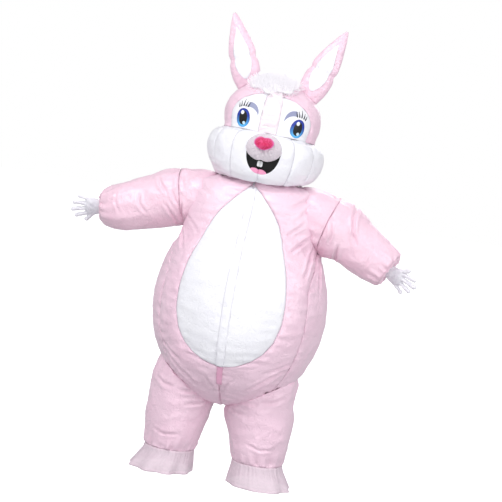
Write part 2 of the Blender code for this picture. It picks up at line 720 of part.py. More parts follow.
def build_limbs(maker, body_skin, body_pieces):
    """Shoulders, sleeves and legs, trimmed by the trunk, and the openings that they leave in it."""
    arm_pink = material("arm_pink_nylon", LIGHT_PINK)
    pink = material("pink_nylon", PINK)
    trunk = whole_skin(maker, "trunk_trimmer", body_skin, TRIM_LIFT, body_seams)
    for side in ("left", "right"):
        rings, along = arm_rings(side)
        name = f"shoulder_{side}"
        cap = maker.place(name, grid_mesh(name, rings[: SHOULDER_ROWS + 1], closed=True), arm_pink, CLOTH)
        boolean(cap, trunk)
        hollow_name = f"arm_hollow_{side}"
        hollow_rings, _ = arm_rings(side, CLOTH + SEAM_GAP)
        hollow_rings = hollow_rings[: SHOULDER_ROWS + 3]
        arm_hollow = maker.place(hollow_name, grid_mesh(hollow_name, hollow_rings, True, True, True))
        name = f"sleeve_{side}"
        sleeve_rings = rings[SHOULDER_ROWS:].copy()
        sleeve_rings[0] += along[SHOULDER_ROWS] * ARM_SEAM_GAP
        sleeve = maker.place(name, grid_mesh(name, sleeve_rings, closed=True), arm_pink, CLOTH)
        boolean(sleeve, trunk)
        name = f"leg_{side}"
        rings = leg_rings(LEG[side], LEG_ROWS, LEG_COLUMNS)
        leg = maker.place(name, grid_mesh(name, rings, closed=True), pink, CLOTH)
        boolean(leg, trunk)
        hollow_name = f"leg_hollow_{side}"
        hollow_rings = leg_rings(LEG[side], LEG_ROWS, LEG_COLUMNS, CLOTH + SEAM_GAP)
        leg_hollow = maker.place(hollow_name, grid_mesh(hollow_name, hollow_rings, True, True, True))
        for piece_side, part, piece in body_pieces:
            if piece_side != side:
                continue
            boolean(piece, leg_hollow)
            if part != "side":
                boolean(piece, arm_hollow)


def build_cuffs_and_flounces(maker):
    """The elastic ends of the sleeves and the sheer ruffles round the ankles."""
    arm_pink = material("arm_pink_nylon", LIGHT_PINK)
    sheer = material("sheer_pink", SHEER)
    for side in ("left", "right"):
        end = ARM[side][-1]
        before = ARM[side][-2]
        along = Vector((end.x - before.x, end.y - before.y, end.height - before.height)).normalized()
        across = Vector((0, 0, 1)).cross(along).normalized()
        other = along.cross(across)
        centre = Vector((end.x, end.y, end.height))
        grid = []
        outer = end.radius - CLOTH - CUFF_CLEARANCE
        for share, depth in CUFF_PROFILE:
            ring = []
            radius = outer + (CUFF_INNER_RADIUS - outer) * share
            for j in range(2 * CUFF_WAVES):
                turn = math.pi * j / CUFF_WAVES
                ripple = CUFF_RIPPLE * math.cos(CUFF_WAVES * turn) * math.sin(math.pi * min(1, share + 0.05))
                where = centre + along * (depth + ripple)
                ring.append(where + radius * (math.cos(turn) * across + math.sin(turn) * other))
            grid.append(ring)
        name = f"cuff_{side}"
        maker.place(name, grid_mesh(name, grid, closed=True), arm_pink, TRIM_WALL)
        name = f"flounce_{side}"
        rings = leg_rings(FLOUNCE[side], 4, 4 * HEM_WAVES, 0.0, FLOUNCE_WAVE_DEPTH)
        maker.place(name, grid_mesh(name, rings, closed=True), sheer, RUFFLE_WALL)


def build_head(maker, skin):
    """The gores of the cheeks and the upper head, with the opening behind the muzzle window."""
    pink = material("pink_nylon", PINK)
    white = material("white_nylon", WHITE)
    chin, cheek, ear_line = CHEEK_SEAMS
    bottom, top = HEAD[0].height, HEAD[-1].height
    crease_low, crease_high = CREASE_HEIGHT - 0.0004, CREASE_HEIGHT + 0.0004
    patch = lambda z: max(float(edge_angle(EYE_PATCH, z)), BROW_HALF_ANGLE)
    eye_panel = lambda z: min(patch(z), max(float(edge_angle(EYE_PATCH, z + 0.001)), BROW_HALF_ANGLE))
    fixed = lambda angle: lambda z: angle
    brow = fixed(BROW_HALF_ANGLE)
    lower, upper = (bottom, crease_low), (crease_high, top)
    patch_bounds = (crease_high, EYE_PATCH[-1].height - TIP_GAP)
    pale_pink = material("pale_pink_nylon", LIGHT_PINK)
    cut_by_window = [
        gore(maker, "brow_strip", skin, pale_pink, upper, mirrored(brow), brow, 2 * BROW_COLUMNS),
    ]
    spans = [
        ("cheek_front", lower, fixed(0.0), fixed(chin), CHEEK_FRONT_COLUMNS, white),
        ("cheek_mid", lower, fixed(chin), fixed(cheek), CHEEK_MID_COLUMNS, white),
        ("cheek_side", lower, fixed(cheek), fixed(ear_line), CHEEK_SIDE_COLUMNS, white),
        ("eye_patch", patch_bounds, brow, eye_panel, EYE_COLUMNS, white),
        ("head_side", upper, patch, fixed(ear_line), HEAD_SIDE_COLUMNS, pink),
        ("head_back", (bottom, top), fixed(ear_line), fixed(180.0), HEAD_BACK_COLUMNS, pink),
    ]
    for side, sign in (("left", -1), ("right", 1)):
        for part, bounds, inner, outer, columns, finish in spans:
            low, high = (inner, outer) if sign > 0 else (mirrored(outer), mirrored(inner))
            piece = gore(maker, f"{part}_{side}", skin, finish, bounds, low, high, columns)
            if part in ("cheek_front", "eye_patch"):
                cut_by_window.append(piece)
    return cut_by_window


def window_outline(turn):
    """The muzzle's outline as a share of its half size: an oval with two soft lobes below."""
    lobes = 0.045 * np.cos(2 * (turn + math.pi / 2)) * (np.sin(turn) < 0)
    notch = 0.09 * np.exp(-(((turn % (2 * math.pi)) - 1.5 * math.pi) / 0.22) ** 2)
    return 1.0 - lobes - notch


def front_depth(x, height, skin):
    """How far forward the untilted head reaches at each x and height, straight across the crease."""
    height = np.asarray(height, float)
    low, high = CREASE_HEIGHT - BRIDGE_DOWN, CREASE_HEIGHT + BRIDGE_UP
    share = np.clip((height - low) / (high - low), 0, 1)

    def oval(z):
        level = z
        for _ in range(6):
            _, width, front, _ = np.moveaxis(curve_at(skin.rows, skin.run, skin.along(level)), -1, 0)
            cosine = np.sqrt(np.clip(1 - (x / width) ** 2, 0, 1))
            level = z + dropped(skin.drop, level, cosine)
        return front * cosine

    bridged = (1 - share) * oval(np.full_like(height, low)) + share * oval(np.full_like(height, high))
    return np.where((height > low) & (height < high), bridged, oval(height))


def window_surface(x, height, skin):
    """The film's outer face, as points on the head before it is tilted."""
    u = (x - WINDOW_CENTRE[0]) / WINDOW_HALF_SIZE[0]
    v = (height - WINDOW_CENTRE[1]) / WINDOW_HALF_SIZE[1]
    reach = np.clip(1 - (u**2 + v**2), 0, 1)
    lobe = FILM_LOBE * (1 - np.exp(-((u / 0.16) ** 2))) * (v < 0) * reach
    bulge = HEAD_PUFF + FILM_LIFT + FILM_BULGE * reach**0.7 + lobe
    return np.stack([x, -(front_depth(x, height, skin) + bulge), height], -1)


def disc_grid(centre, half_size, outline, rings, columns, surface):
    """Rings from near the middle out to an outline, laid on a surface of x and height."""
    turn = np.linspace(0, 2 * math.pi, columns, endpoint=False)
    grid = []
    for share in np.linspace(1, 0.02, rings + 1):
        reach = share * outline(turn)
        x = centre[0] + half_size[0] * reach * np.cos(turn)
        height = centre[1] + half_size[1] * reach * np.sin(turn)
        grid.append(surface(x, height))
    return np.array(grid)


def tilted(grid, place):
    turn = np.array(place.to_3x3())
    return np.asarray(grid) @ turn.T + np.array(place.translation)


def heart(turn):
    """A plump heart, wider than high, with a shallow notch above and a round point below."""
    notch = 0.24 * np.exp(-((turn - math.pi / 2) / 0.32) ** 2)
    point = 0.12 * np.exp(-((turn - 1.5 * math.pi) / 0.55) ** 2)
    shoulder = 0.10 * np.sin(turn)
    return 0.98 + shoulder - notch + point


def build_muzzle(maker, skin, cut_by_window):
    """The clear film, its opening in the face, and the plush nose on it."""
    place = skin.place
    film = material("clear_film", SHEER, 0.2)
    surface = lambda x, height: window_surface(x, height, skin)
    grid = disc_grid(WINDOW_CENTRE, WINDOW_HALF_SIZE, window_outline, WINDOW_RINGS, WINDOW_COLUMNS, surface)
    mesh = grid_mesh("muzzle_window", tilted(grid, place), closed=True, cap_end=True)
    maker.place("muzzle_window", mesh, film, FILM_WALL)

    turn = np.linspace(0, 2 * math.pi, WINDOW_COLUMNS, endpoint=False)
    reach = window_outline(turn)
    half_x, half_z = (half - WINDOW_OVERLAP for half in WINDOW_HALF_SIZE)
    height = WINDOW_CENTRE[1] + half_z * reach * np.sin(turn)
    ring = np.stack([half_x * reach * np.cos(turn), np.zeros_like(turn), height], -1)
    ends = [ring + np.array([0, depth, 0]) for depth in OPENING_DEPTHS]
    cutter = maker.place("window_opening", grid_mesh("window_opening", tilted(ends, place), True, True, True))
    for piece in cut_by_window:
        boolean(piece, cutter)

    def back(x, z):
        points = window_surface(x, z, skin)
        points[..., 1] -= NOSE_LIFT
        return points

    def front(x, z):
        points = back(x, z)
        u = (x - NOSE_CENTRE[0]) / NOSE_HALF_SIZE[0]
        v = (z - NOSE_CENTRE[1]) / NOSE_HALF_SIZE[1]
        points[..., 1] -= NOSE_RIM + NOSE_THICKNESS * np.clip(1 - 0.85 * (u**2 + v**2), 0, 1) ** 0.5
        return points

    behind = disc_grid(NOSE_CENTRE, NOSE_HALF_SIZE, heart, 2, WINDOW_COLUMNS, back)[::-1]
    before = disc_grid(NOSE_CENTRE, NOSE_HALF_SIZE, heart, WINDOW_RINGS, WINDOW_COLUMNS, front)
    mesh = grid_mesh("nose", tilted(np.concatenate([behind, before]), place), True, True, True)
    maker.place("nose", mesh, material("crimson_plush", CRIMSON, 0.9))


def build_tuft(maker, skin):
    """The white fur on the crown: a low mound that comes to a ragged point over the brow."""
    turn = np.linspace(0, 2 * math.pi, TUFT_COLUMNS, endpoint=False)
    centre_x, centre_y = TUFT_CENTRE
    under, over = [], []
    for share in TUFT_RINGS:
        locks = 1 + 0.10 * np.cos(7 * turn + 0.6) * (share > 0.9)
        between_ears = 1 - 0.30 * np.clip(-np.sin(turn), 0, 1) ** 0.6
        x = centre_x + TUFT_HALF_WIDTH * share * locks * np.cos(turn) * between_ears
        reach = np.where(np.sin(turn) > 0, TUFT_REACH[0], TUFT_REACH[1])
        y = centre_y - reach * share * locks * np.sin(turn)
        rise = TUFT_RIM + TUFT_RISE * (1 - share**2) ** 0.7
        under.append(crown_points(x, y, skin, HEAD_PUFF + TUFT_LIFT))
        over.append(crown_points(x, y, skin, HEAD_PUFF + TUFT_LIFT + rise))
    grid = np.concatenate([under, over[::-1]])
    mesh = grid_mesh("hair_tuft", tilted(grid, skin.place), True, True, True)
    shape = bmesh.new()
    shape.from_mesh(mesh)
    bmesh.ops.recalc_face_normals(shape, faces=shape.faces)
    shape.to_mesh(mesh)
    shape.free()
    maker.place("hair_tuft", mesh, material("white_fur", WHITE, 0.9))


def crown_points(x, y, skin, lift):
    """Points over the crown at x and y, each pushed out from the head's middle."""
    angle = np.degrees(np.arctan2(x, -y))
    s = np.linspace(skin.along(1.59), skin.run[-1], 300)
    out = []
    for each_x, each_y, each_angle in zip(x, y, angle):
        ring = skin.plain(np.full_like(s, each_angle), s)
        far = np.hypot(ring[:, 0], ring[:, 1])
        k = int(np.argmin(np.abs(far - math.hypot(each_x, each_y))))
        below, above = ring[max(k - 3, 0)], ring[min(k + 3, len(s) - 1)]
        slope = above - below
        outward = np.array([math.sin(math.radians(each_angle)), -math.cos(math.radians(each_angle)), 0.0])
        tangent = np.array([-outward[1], outward[0], 0.0])
        normal = np.cross(tangent, slope)
        normal /= np.linalg.norm(normal)
        out.append(ring[k] + normal * lift)
    return np.array(out)


def ear_point(side, distance, across, y):
    """A point of an ear: so far up its middle line, so far across it and so far back."""
    sign = -1 if side == "left" else 1
    lean = math.radians(EAR_LEAN) * sign
    base_x, base_height = EAR_BASE[side]
    bend = EAR_BEND[side] * (distance / EAR[-1].distance) ** 2 * sign
    x = base_x + distance * math.sin(lean) + (across + bend) * math.cos(lean)
    height = base_height + distance * math.cos(lean) - (across + bend) * math.sin(lean)
    return (x, y, height)


def build_ears(maker, head_trimmer):
    """Each ear has a front, a back and a white inner patch, and blows up like a lens between them."""
    pink = material("pink_nylon", PINK)
    white = material("white_nylon", WHITE)
    rows = smooth_through(EAR, EAR_ROWS)
    shares = np.sin(np.linspace(-0.5, 0.5, EAR_COLUMNS + 1) * math.pi)
    for side in ("left", "right"):
        for face, y_sign in (("front", -1), ("back", 1)):
            grid = []
            for distance, width, thickness in rows:
                across = shares * width * -y_sign
                depth = y_sign * (SEAM_GAP / 2 + thickness * EAR_BULGE[face] * np.sqrt(1 - shares**2))
                grid.append([ear_point(side, distance, a, d) for a, d in zip(across, depth)])
            name = f"ear_{face}_{side}"
            piece = maker.place(name, grid_mesh(name, grid), pink, TRIM_WALL, outward=True)
            boolean(piece, head_trimmer)
        inner = [row for row in rows if INNER_EAR_START <= row[0] <= INNER_EAR_END]
        grid = []
        for distance, width, thickness in inner:
            up = (distance - INNER_EAR_START) / (INNER_EAR_END - INNER_EAR_START)
            narrow = INNER_EAR_SHARE * max(0.12, math.sin(math.pi * min(1, 0.12 + 0.88 * up**0.8)) ** 0.5)
            row = []
            for share in np.linspace(-1, 1, 5):
                across = share * narrow * width
                over = thickness * EAR_BULGE["front"] * math.sqrt(1 - (share * narrow) ** 2) * 1.02
                row.append(ear_point(side, distance, across, -(over + EAR_PATCH_LIFT)))
            grid.append(row)
        name = f"ear_inner_{side}"
        maker.place(name, grid_mesh(name, grid), white, FILM_WALL, outward=True)


def closed_tube(name, sections, columns, place, shrink=0.0, phase=0.0):
    """A closed form along its own X axis, from (distance, half width, half thickness) sections."""
    turn = np.linspace(0, 2 * math.pi, columns, endpoint=False) + phase
    grid = []
    for distance, width, thickness in sections:
        ring = np.stack(
            [
                np.full_like(turn, distance),
                (width - shrink) * np.cos(turn),
                (thickness - shrink) * np.sin(turn),
            ],
            -1,
        )
        grid.append(ring)
    return grid_mesh(name, tilted(grid, place), True, True, True)


def glove_frame(side):
    """The hand's own axes: X along the hand, Y across the palm, Z through it."""
    where = GLOVE_PLACE[side]
    along = Vector(where.aim).normalized()
    across = Vector((0, 0, 1)).cross(along).normalized()
    through = along.cross(across)
    frame = Matrix((along, across, through)).transposed().to_4x4()
    x, height, y = where.wrist
    return Matrix.Translation((x, y, height)) @ frame @ Matrix.Rotation(math.radians(where.roll), 4, "X")


def glove_solid(maker, name, side, shrink, finish=None):
    """A hand of palm and fingers as one solid, shrunk by a wall for its hollow."""
    frame = glove_frame(side)
    thumb_side = 1 if side == "right" else -1
    start = -0.010 if shrink else 0.0
    palm = [(start, PALM[0].half_width, PALM[0].half_thickness)]
    palm += [(d - shrink * (d > KNUCKLE_DISTANCE), w, t) for d, w, t in PALM[1:]]
    hand = maker.place(name, closed_tube(name, palm, PALM_COLUMNS, frame, shrink), finish)
    for finger in FINGERS:
        radius = finger.radius
        turn = Matrix.Rotation(math.radians(finger.spread * thumb_side), 4, "Z")
        across = finger.across * thumb_side * 0.92
        root = Matrix.Translation((finger.along - FINGER_ROOT, across, FINGER_RISE))
        length = finger.length + FINGER_ROOT
        sections = [
            (0.0, radius * 0.9, radius * 0.9),
            (length * 0.45, radius, radius),
            (length - radius * 1.1, radius * 0.92, radius * 0.92),
            (length - radius * 0.35, radius * 0.68, radius * 0.68),
            (length, radius * 0.30, radius * 0.30),
        ]
        if shrink:
            least = shrink + FINGER_CORE
            sections = [(min(d, length - shrink), max(w, least), max(t, least)) for d, w, t in sections]
        finger_name = f"{name}_{finger.name}"
        mesh = closed_tube(finger_name, sections, FINGER_COLUMNS, frame @ root @ turn, shrink, FINGER_PHASE)
        boolean(hand, maker.place(finger_name, mesh), "UNION", "MANIFOLD")
    return hand


def build_gloves(maker):
    white = material("white_glove", WHITE, 0.8)
    for side in ("left", "right"):
        glove = glove_solid(maker, f"glove_{side}", side, 0.0, white)
        hollow = glove_solid(maker, f"hand_hollow_{side}", side, GLOVE_WALL)
        boolean(glove, hollow, solver="MANIFOLD")


def slider_frame(skin):
    """The slider's place on the front of the neck: its Z axis runs up the cloth and its Y axis out of it."""
    s = skin.along(SLIDER_HEIGHT)
    low, here, high = (Vector(skin.at(0.0, s + step)) for step in (-0.004, 0.0, 0.004))
    up = (high - low).normalized()
    across = Vector((1, 0, 0))
    out = across.cross(up).normalized()
    frame = Matrix((across, -out, up)).transposed().to_4x4()
    return Matrix.Translation(here + out * SLIDER_LIFT) @ frame


def box_mesh(name, size, centre):
    shape = bmesh.new()
    bmesh.ops.create_cube(shape, size=1.0)
    bmesh.ops.scale(shape, vec=size, verts=shape.verts)
    bmesh.ops.translate(shape, vec=centre, verts=shape.verts)
    mesh = bpy.data.meshes.new(name)
    shape.to_mesh(mesh)
    shape.free()
    return mesh


def build_zip(maker, skin):
    """The slider, with a bridge on it, and the pull tab whose top bar turns under that bridge."""
    steel = material("zip_metal", STEEL, 0.25, 1.0)
    frame = slider_frame(skin)
    body_size = (SLIDER_WIDTH, SLIDER_BODY, SLIDER_LENGTH)
    body = maker.place("zip_slider", box_mesh("zip_slider", body_size, (0, -SLIDER_BODY / 2, 0)), steel)
    sunk = 0.0005
    bridge_size = (BRIDGE_WIDTH, BRIDGE_RISE + 2 * sunk, BRIDGE_LENGTH)
    bridge = box_mesh("slider_bridge", bridge_size, (0, -SLIDER_BODY - BRIDGE_RISE / 2 + sunk, 0))
    slot_height = BRIDGE_RISE - BRIDGE_BAR
    slot_length = BRIDGE_LENGTH - 2 * BRIDGE_BAR
    slot_size = (SLIDER_WIDTH * 2, slot_height, slot_length)
    slot = box_mesh("slider_slot", slot_size, (0, -SLIDER_BODY - slot_height / 2, 0))
    body.matrix_local = frame
    for name, mesh, operation in (("slider_bridge", bridge, "UNION"), ("slider_slot", slot, "DIFFERENCE")):
        helper = maker.place(name, mesh)
        helper.matrix_local = frame
        boolean(body, helper, operation)

    pivot_out = SLIDER_BODY + slot_height / 2
    pivot_up = -slot_length / 2 + TAB_THICKNESS
    tab_size = (TAB_WIDTH, TAB_THICKNESS, TAB_LENGTH)
    tab_middle = (0, 0, (TAB_BAR - TAB_LENGTH) / 2)
    tab = maker.place("pull_tab", box_mesh("pull_tab", tab_size, tab_middle), steel)
    windows = []
    for name, (width, length), middle in (
        ("tab_window", TAB_WINDOW, -TAB_BAR / 2 - TAB_WINDOW[1] / 2),
        ("tab_end_window", TAB_END_WINDOW, TAB_END_MARGIN - TAB_LENGTH),
    ):
        windows.append(maker.place(name, box_mesh(name, (width, CUTTER_DEPTH, length), (0, 0, middle))))
    lean = Matrix.Rotation(math.radians(TAB_REST), 4, "X")
    hinge = frame @ Matrix.Translation((0, -pivot_out, pivot_up)) @ lean
    tab.matrix_local = hinge
    for helper in windows:
        helper.matrix_local = hinge
        boolean(tab, helper)


def main():
    clear_scene()
    maker = Maker()
    body_skin = Skin(BODY, body_puffs, BODY_STOPS)
    head_skin = Skin(HEAD, head_puffs, HEAD_STOPS, head_place(), CHIN_DROP)
    body_pieces = build_body(maker, body_skin)
    build_limbs(maker, body_skin, body_pieces)
    build_cuffs_and_flounces(maker)
    cut_by_window = build_head(maker, head_skin)
    build_muzzle(maker, head_skin, cut_by_window)
    build_tuft(maker, head_skin)
    build_ears(maker, whole_skin(maker, "head_trimmer", head_skin, TRIM_LIFT, head_seams))
    build_gloves(maker)
    build_zip(maker, body_skin)


main()
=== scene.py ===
"""Looks of an inflated rabbit costume: its puffed cloth, printed face, fur, gloves and zip, and a studio.

The solids' tables are repeated here, because this script can't read their source. Table heights are in
metres over the hem; everything made from them is lowered by MOUNT_HEIGHT into the frame.
"""
import math

import bmesh
import bpy
import numpy as np
from mathutils import Matrix, Vector


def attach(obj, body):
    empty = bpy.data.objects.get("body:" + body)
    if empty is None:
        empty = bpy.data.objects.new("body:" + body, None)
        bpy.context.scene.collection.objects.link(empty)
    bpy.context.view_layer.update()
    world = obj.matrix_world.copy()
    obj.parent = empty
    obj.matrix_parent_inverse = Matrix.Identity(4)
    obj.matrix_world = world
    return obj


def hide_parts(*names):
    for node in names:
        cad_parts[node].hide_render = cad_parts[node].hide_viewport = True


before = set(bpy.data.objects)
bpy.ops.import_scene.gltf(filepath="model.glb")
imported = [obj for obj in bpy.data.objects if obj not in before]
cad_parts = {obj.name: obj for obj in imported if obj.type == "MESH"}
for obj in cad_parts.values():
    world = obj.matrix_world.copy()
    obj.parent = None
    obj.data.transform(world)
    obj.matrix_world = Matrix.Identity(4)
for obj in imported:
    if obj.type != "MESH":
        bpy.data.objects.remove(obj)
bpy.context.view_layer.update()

bl_info = {
    "name": "Rabbit Costume Looks",
    "version": (1, 0, 0),
    "blender": (4, 5, 0),
    "location": "View3D > Sidebar > Costume",
    "description": "Dresses the solids of an inflated rabbit costume in its cloth, fur, prints and trim",
    "category": "Object",
}

MOUNT_HEIGHT = 1.34
SEAM_GAP = 0.00012  # between two sewn pieces
FOLD_STRENGTH = 1.7
CRUMPLE_STRENGTH = 1.9
GATHER_STRENGTH = 1.6
NECK_HEIGHT = 1.360
NECK_BEND = 0.035
CREASE_HEIGHT = 1.553
BODY_PUFF = 0.008
HEAD_PUFF = 0.006
CHEEK_SEAMS = (32.0, 58.0, 105.0)
BROW_HALF_ANGLE = 11.0
WINDOW_CENTRE = (0.004, 1.489)
WINDOW_HALF_SIZE = (0.076, 0.062)
WINDOW_OVERLAP = 0.009
NOSE_CENTRE = (0.002, 1.507)
NOSE_HALF_SIZE = (0.043, 0.029)
BELLY_BOTTOM = 0.547

# Sections of the trunk and the head: height, half width, front depth, back depth
BODY = [
    (0.340, 0.004, 0.004, 0.004), (0.344, 0.060, 0.058, 0.050), (0.360, 0.118, 0.113, 0.098),
    (0.385, 0.170, 0.162, 0.138), (0.420, 0.222, 0.211, 0.180), (0.470, 0.275, 0.264, 0.224),
    (0.540, 0.323, 0.309, 0.262), (0.640, 0.364, 0.350, 0.296), (0.780, 0.385, 0.370, 0.312),
    (0.900, 0.373, 0.360, 0.302), (1.000, 0.344, 0.328, 0.280), (1.080, 0.308, 0.284, 0.250),
    (1.140, 0.303, 0.245, 0.226), (1.200, 0.314, 0.216, 0.208), (1.260, 0.314, 0.192, 0.190),
    (1.310, 0.288, 0.170, 0.172), (1.342, 0.240, 0.150, 0.152), (1.360, 0.178, 0.130, 0.132),
]
HEAD = [
    (1.3605, 0.177, 0.130, 0.132), (1.367, 0.200, 0.162, 0.152), (1.382, 0.219, 0.192, 0.172),
    (1.404, 0.236, 0.216, 0.188), (1.436, 0.251, 0.234, 0.200), (1.475, 0.259, 0.244, 0.208),
    (1.510, 0.254, 0.242, 0.212), (1.535, 0.237, 0.230, 0.212), (1.553, 0.204, 0.202, 0.209),
    (1.568, 0.204, 0.197, 0.209), (1.600, 0.210, 0.198, 0.212), (1.640, 0.213, 0.192, 0.211),
    (1.680, 0.204, 0.178, 0.201), (1.715, 0.184, 0.154, 0.180), (1.745, 0.153, 0.123, 0.148),
    (1.768, 0.114, 0.088, 0.110), (1.783, 0.068, 0.050, 0.064), (1.789, 0.005, 0.005, 0.005),
]
CHIN_DROP = [
    (1.3605, 0.0), (1.367, 0.018), (1.382, 0.040), (1.404, 0.044), (1.436, 0.036), (1.475, 0.018),
    (1.510, 0.005), (1.535, 0.0),
]
BELLY = [
    (0.547, 0.0), (0.552, 7.1), (0.563, 13.7), (0.587, 21.3), (0.624, 28.4), (0.682, 34.0), (0.759, 37.0),
    (0.862, 38.1), (0.965, 37.8), (1.064, 36.5), (1.116, 34.0), (1.170, 28.4), (1.219, 21.3), (1.272, 12.8),
    (1.302, 8.0), (1.328, 2.8), (1.337, 0.0),
]
EYE_PATCH = [
    (1.553, 56.0), (1.590, 57.0), (1.630, 56.0), (1.665, 51.0), (1.690, 44.0), (1.708, 34.0), (1.720, 22.0),
    (1.726, 11.0),
]
# Sections along each arm: x, height, y, radius. The first five are the shoulder cap's.
ARM = {
    "left": [
        (-0.150, 1.215, 0.0, 0.114), (-0.190, 1.226, 0.0, 0.126), (-0.225, 1.234, 0.0, 0.131),
        (-0.280, 1.238, 0.0, 0.134), (-0.334, 1.236, 0.0, 0.127), (-0.375, 1.222, -0.003, 0.129),
        (-0.450, 1.192, -0.010, 0.123), (-0.520, 1.168, -0.017, 0.117), (-0.580, 1.150, -0.023, 0.110),
        (-0.630, 1.139, -0.028, 0.101), (-0.665, 1.134, -0.032, 0.090), (-0.686, 1.132, -0.034, 0.077),
        (-0.694, 1.131, -0.035, 0.069),
    ],
    "right": [
        (0.150, 1.214, 0.0, 0.114), (0.190, 1.224, 0.0, 0.127), (0.225, 1.230, 0.0, 0.132),
        (0.285, 1.222, 0.0, 0.137), (0.340, 1.206, 0.0, 0.133), (0.385, 1.192, -0.003, 0.134),
        (0.432, 1.171, -0.008, 0.126), (0.462, 1.153, -0.012, 0.115), (0.510, 1.124, -0.017, 0.110),
        (0.560, 1.096, -0.023, 0.103), (0.600, 1.074, -0.028, 0.095), (0.625, 1.060, -0.030, 0.087),
        (0.634, 1.055, -0.031, 0.082),
    ],
}
ARM_SEAM = 4
# Sections down each leg and ruffle: height, x, y, half width, half depth
LEG = {
    "left": [
        (0.570, -0.160, 0.0, 0.140, 0.140), (0.480, -0.178, 0.0, 0.158, 0.152), (0.400, -0.190, 0.0, 0.157, 0.156),
        (0.300, -0.204, 0.0, 0.147, 0.150), (0.210, -0.212, 0.0, 0.136, 0.140), (0.140, -0.217, 0.0, 0.124, 0.128),
        (0.106, -0.219, 0.0, 0.114, 0.118),
    ],
    "right": [
        (0.570, 0.142, 0.0, 0.145, 0.140), (0.480, 0.153, 0.0, 0.163, 0.152), (0.400, 0.157, 0.0, 0.156, 0.156),
        (0.300, 0.166, 0.0, 0.155, 0.152), (0.210, 0.178, 0.0, 0.140, 0.142), (0.140, 0.185, 0.0, 0.124, 0.128),
        (0.106, 0.187, 0.0, 0.115, 0.118),
    ],
}
FLOUNCE = {
    "left": [
        (0.1056, -0.2192, 0.0, 0.1135, 0.1175), (0.085, -0.223, 0.0, 0.117, 0.120),
        (0.045, -0.235, 0.0, 0.130, 0.132), (0.000, -0.250, 0.0, 0.143, 0.142),
    ],
    "right": [
        (0.1056, 0.187, 0.0, 0.1145, 0.1175), (0.085, 0.190, 0.0, 0.118, 0.120),
        (0.045, 0.198, 0.0, 0.131, 0.132), (0.000, 0.207, 0.0, 0.144, 0.143),
    ],
}
HEM_WAVES = 9
CUFF_WAVES = 14
CUFF_PROFILE = ((0.0, -0.003), (0.12, 0.003), (0.3, 0.006), (0.55, 0.004), (0.75, 0.002), (0.9, -0.006), (1.0, -0.014))
CUFF_INNER_RADIUS = 0.0329
# Each ear: distance up it, half width, half thickness
EAR = [
    (-0.020, 0.044, 0.024), (0.000, 0.050, 0.028), (0.035, 0.061, 0.034), (0.075, 0.066, 0.036),
    (0.110, 0.064, 0.033), (0.127, 0.057, 0.025), (0.148, 0.061, 0.030), (0.200, 0.053, 0.028),
    (0.250, 0.038, 0.022), (0.300, 0.021, 0.014), (0.335, 0.005, 0.005),
]
EAR_BASE = {"left": (-0.117, 1.768), "right": (0.156, 1.757)}
EAR_BEND = {"left": 0.0, "right": 0.014}
EAR_LEAN = 20.0
INNER_EAR_START, INNER_EAR_END, INNER_EAR_SHARE = 0.030, 0.270, 0.62
# Each finger: distance along the hand, across it, spread in degrees, length, radius
FINGERS = [
    (0.088, 0.030, 14.0, 0.070, 0.0095), (0.094, 0.010, 4.0, 0.076, 0.0098), (0.090, -0.011, -7.0, 0.070, 0.0094),
    (0.080, -0.030, -20.0, 0.058, 0.0085), (0.078, 0.030, 42.0, 0.048, 0.0105),
]
PALM = [
    (0.000, 0.031, 0.025), (0.030, 0.033, 0.021), (0.065, 0.042, 0.017), (0.092, 0.040, 0.014), (0.102, 0.026, 0.009),
]
# Each hand: the wrist's x, height and y, where it points, and its roll in degrees
HAND = {
    "left": ((-0.668, 1.135, -0.032), (-0.985, -0.10, -0.14), 62.0),
    "right": ((0.610, 1.068, -0.029), (0.87, -0.12, -0.48), 118.0),
}
TUFT_CENTRE = (-0.018, -0.066)
TUFT_HALF_WIDTH = 0.086
TUFT_REACH = (0.075, 0.085)
SIDES = (("left", -1), ("right", 1))

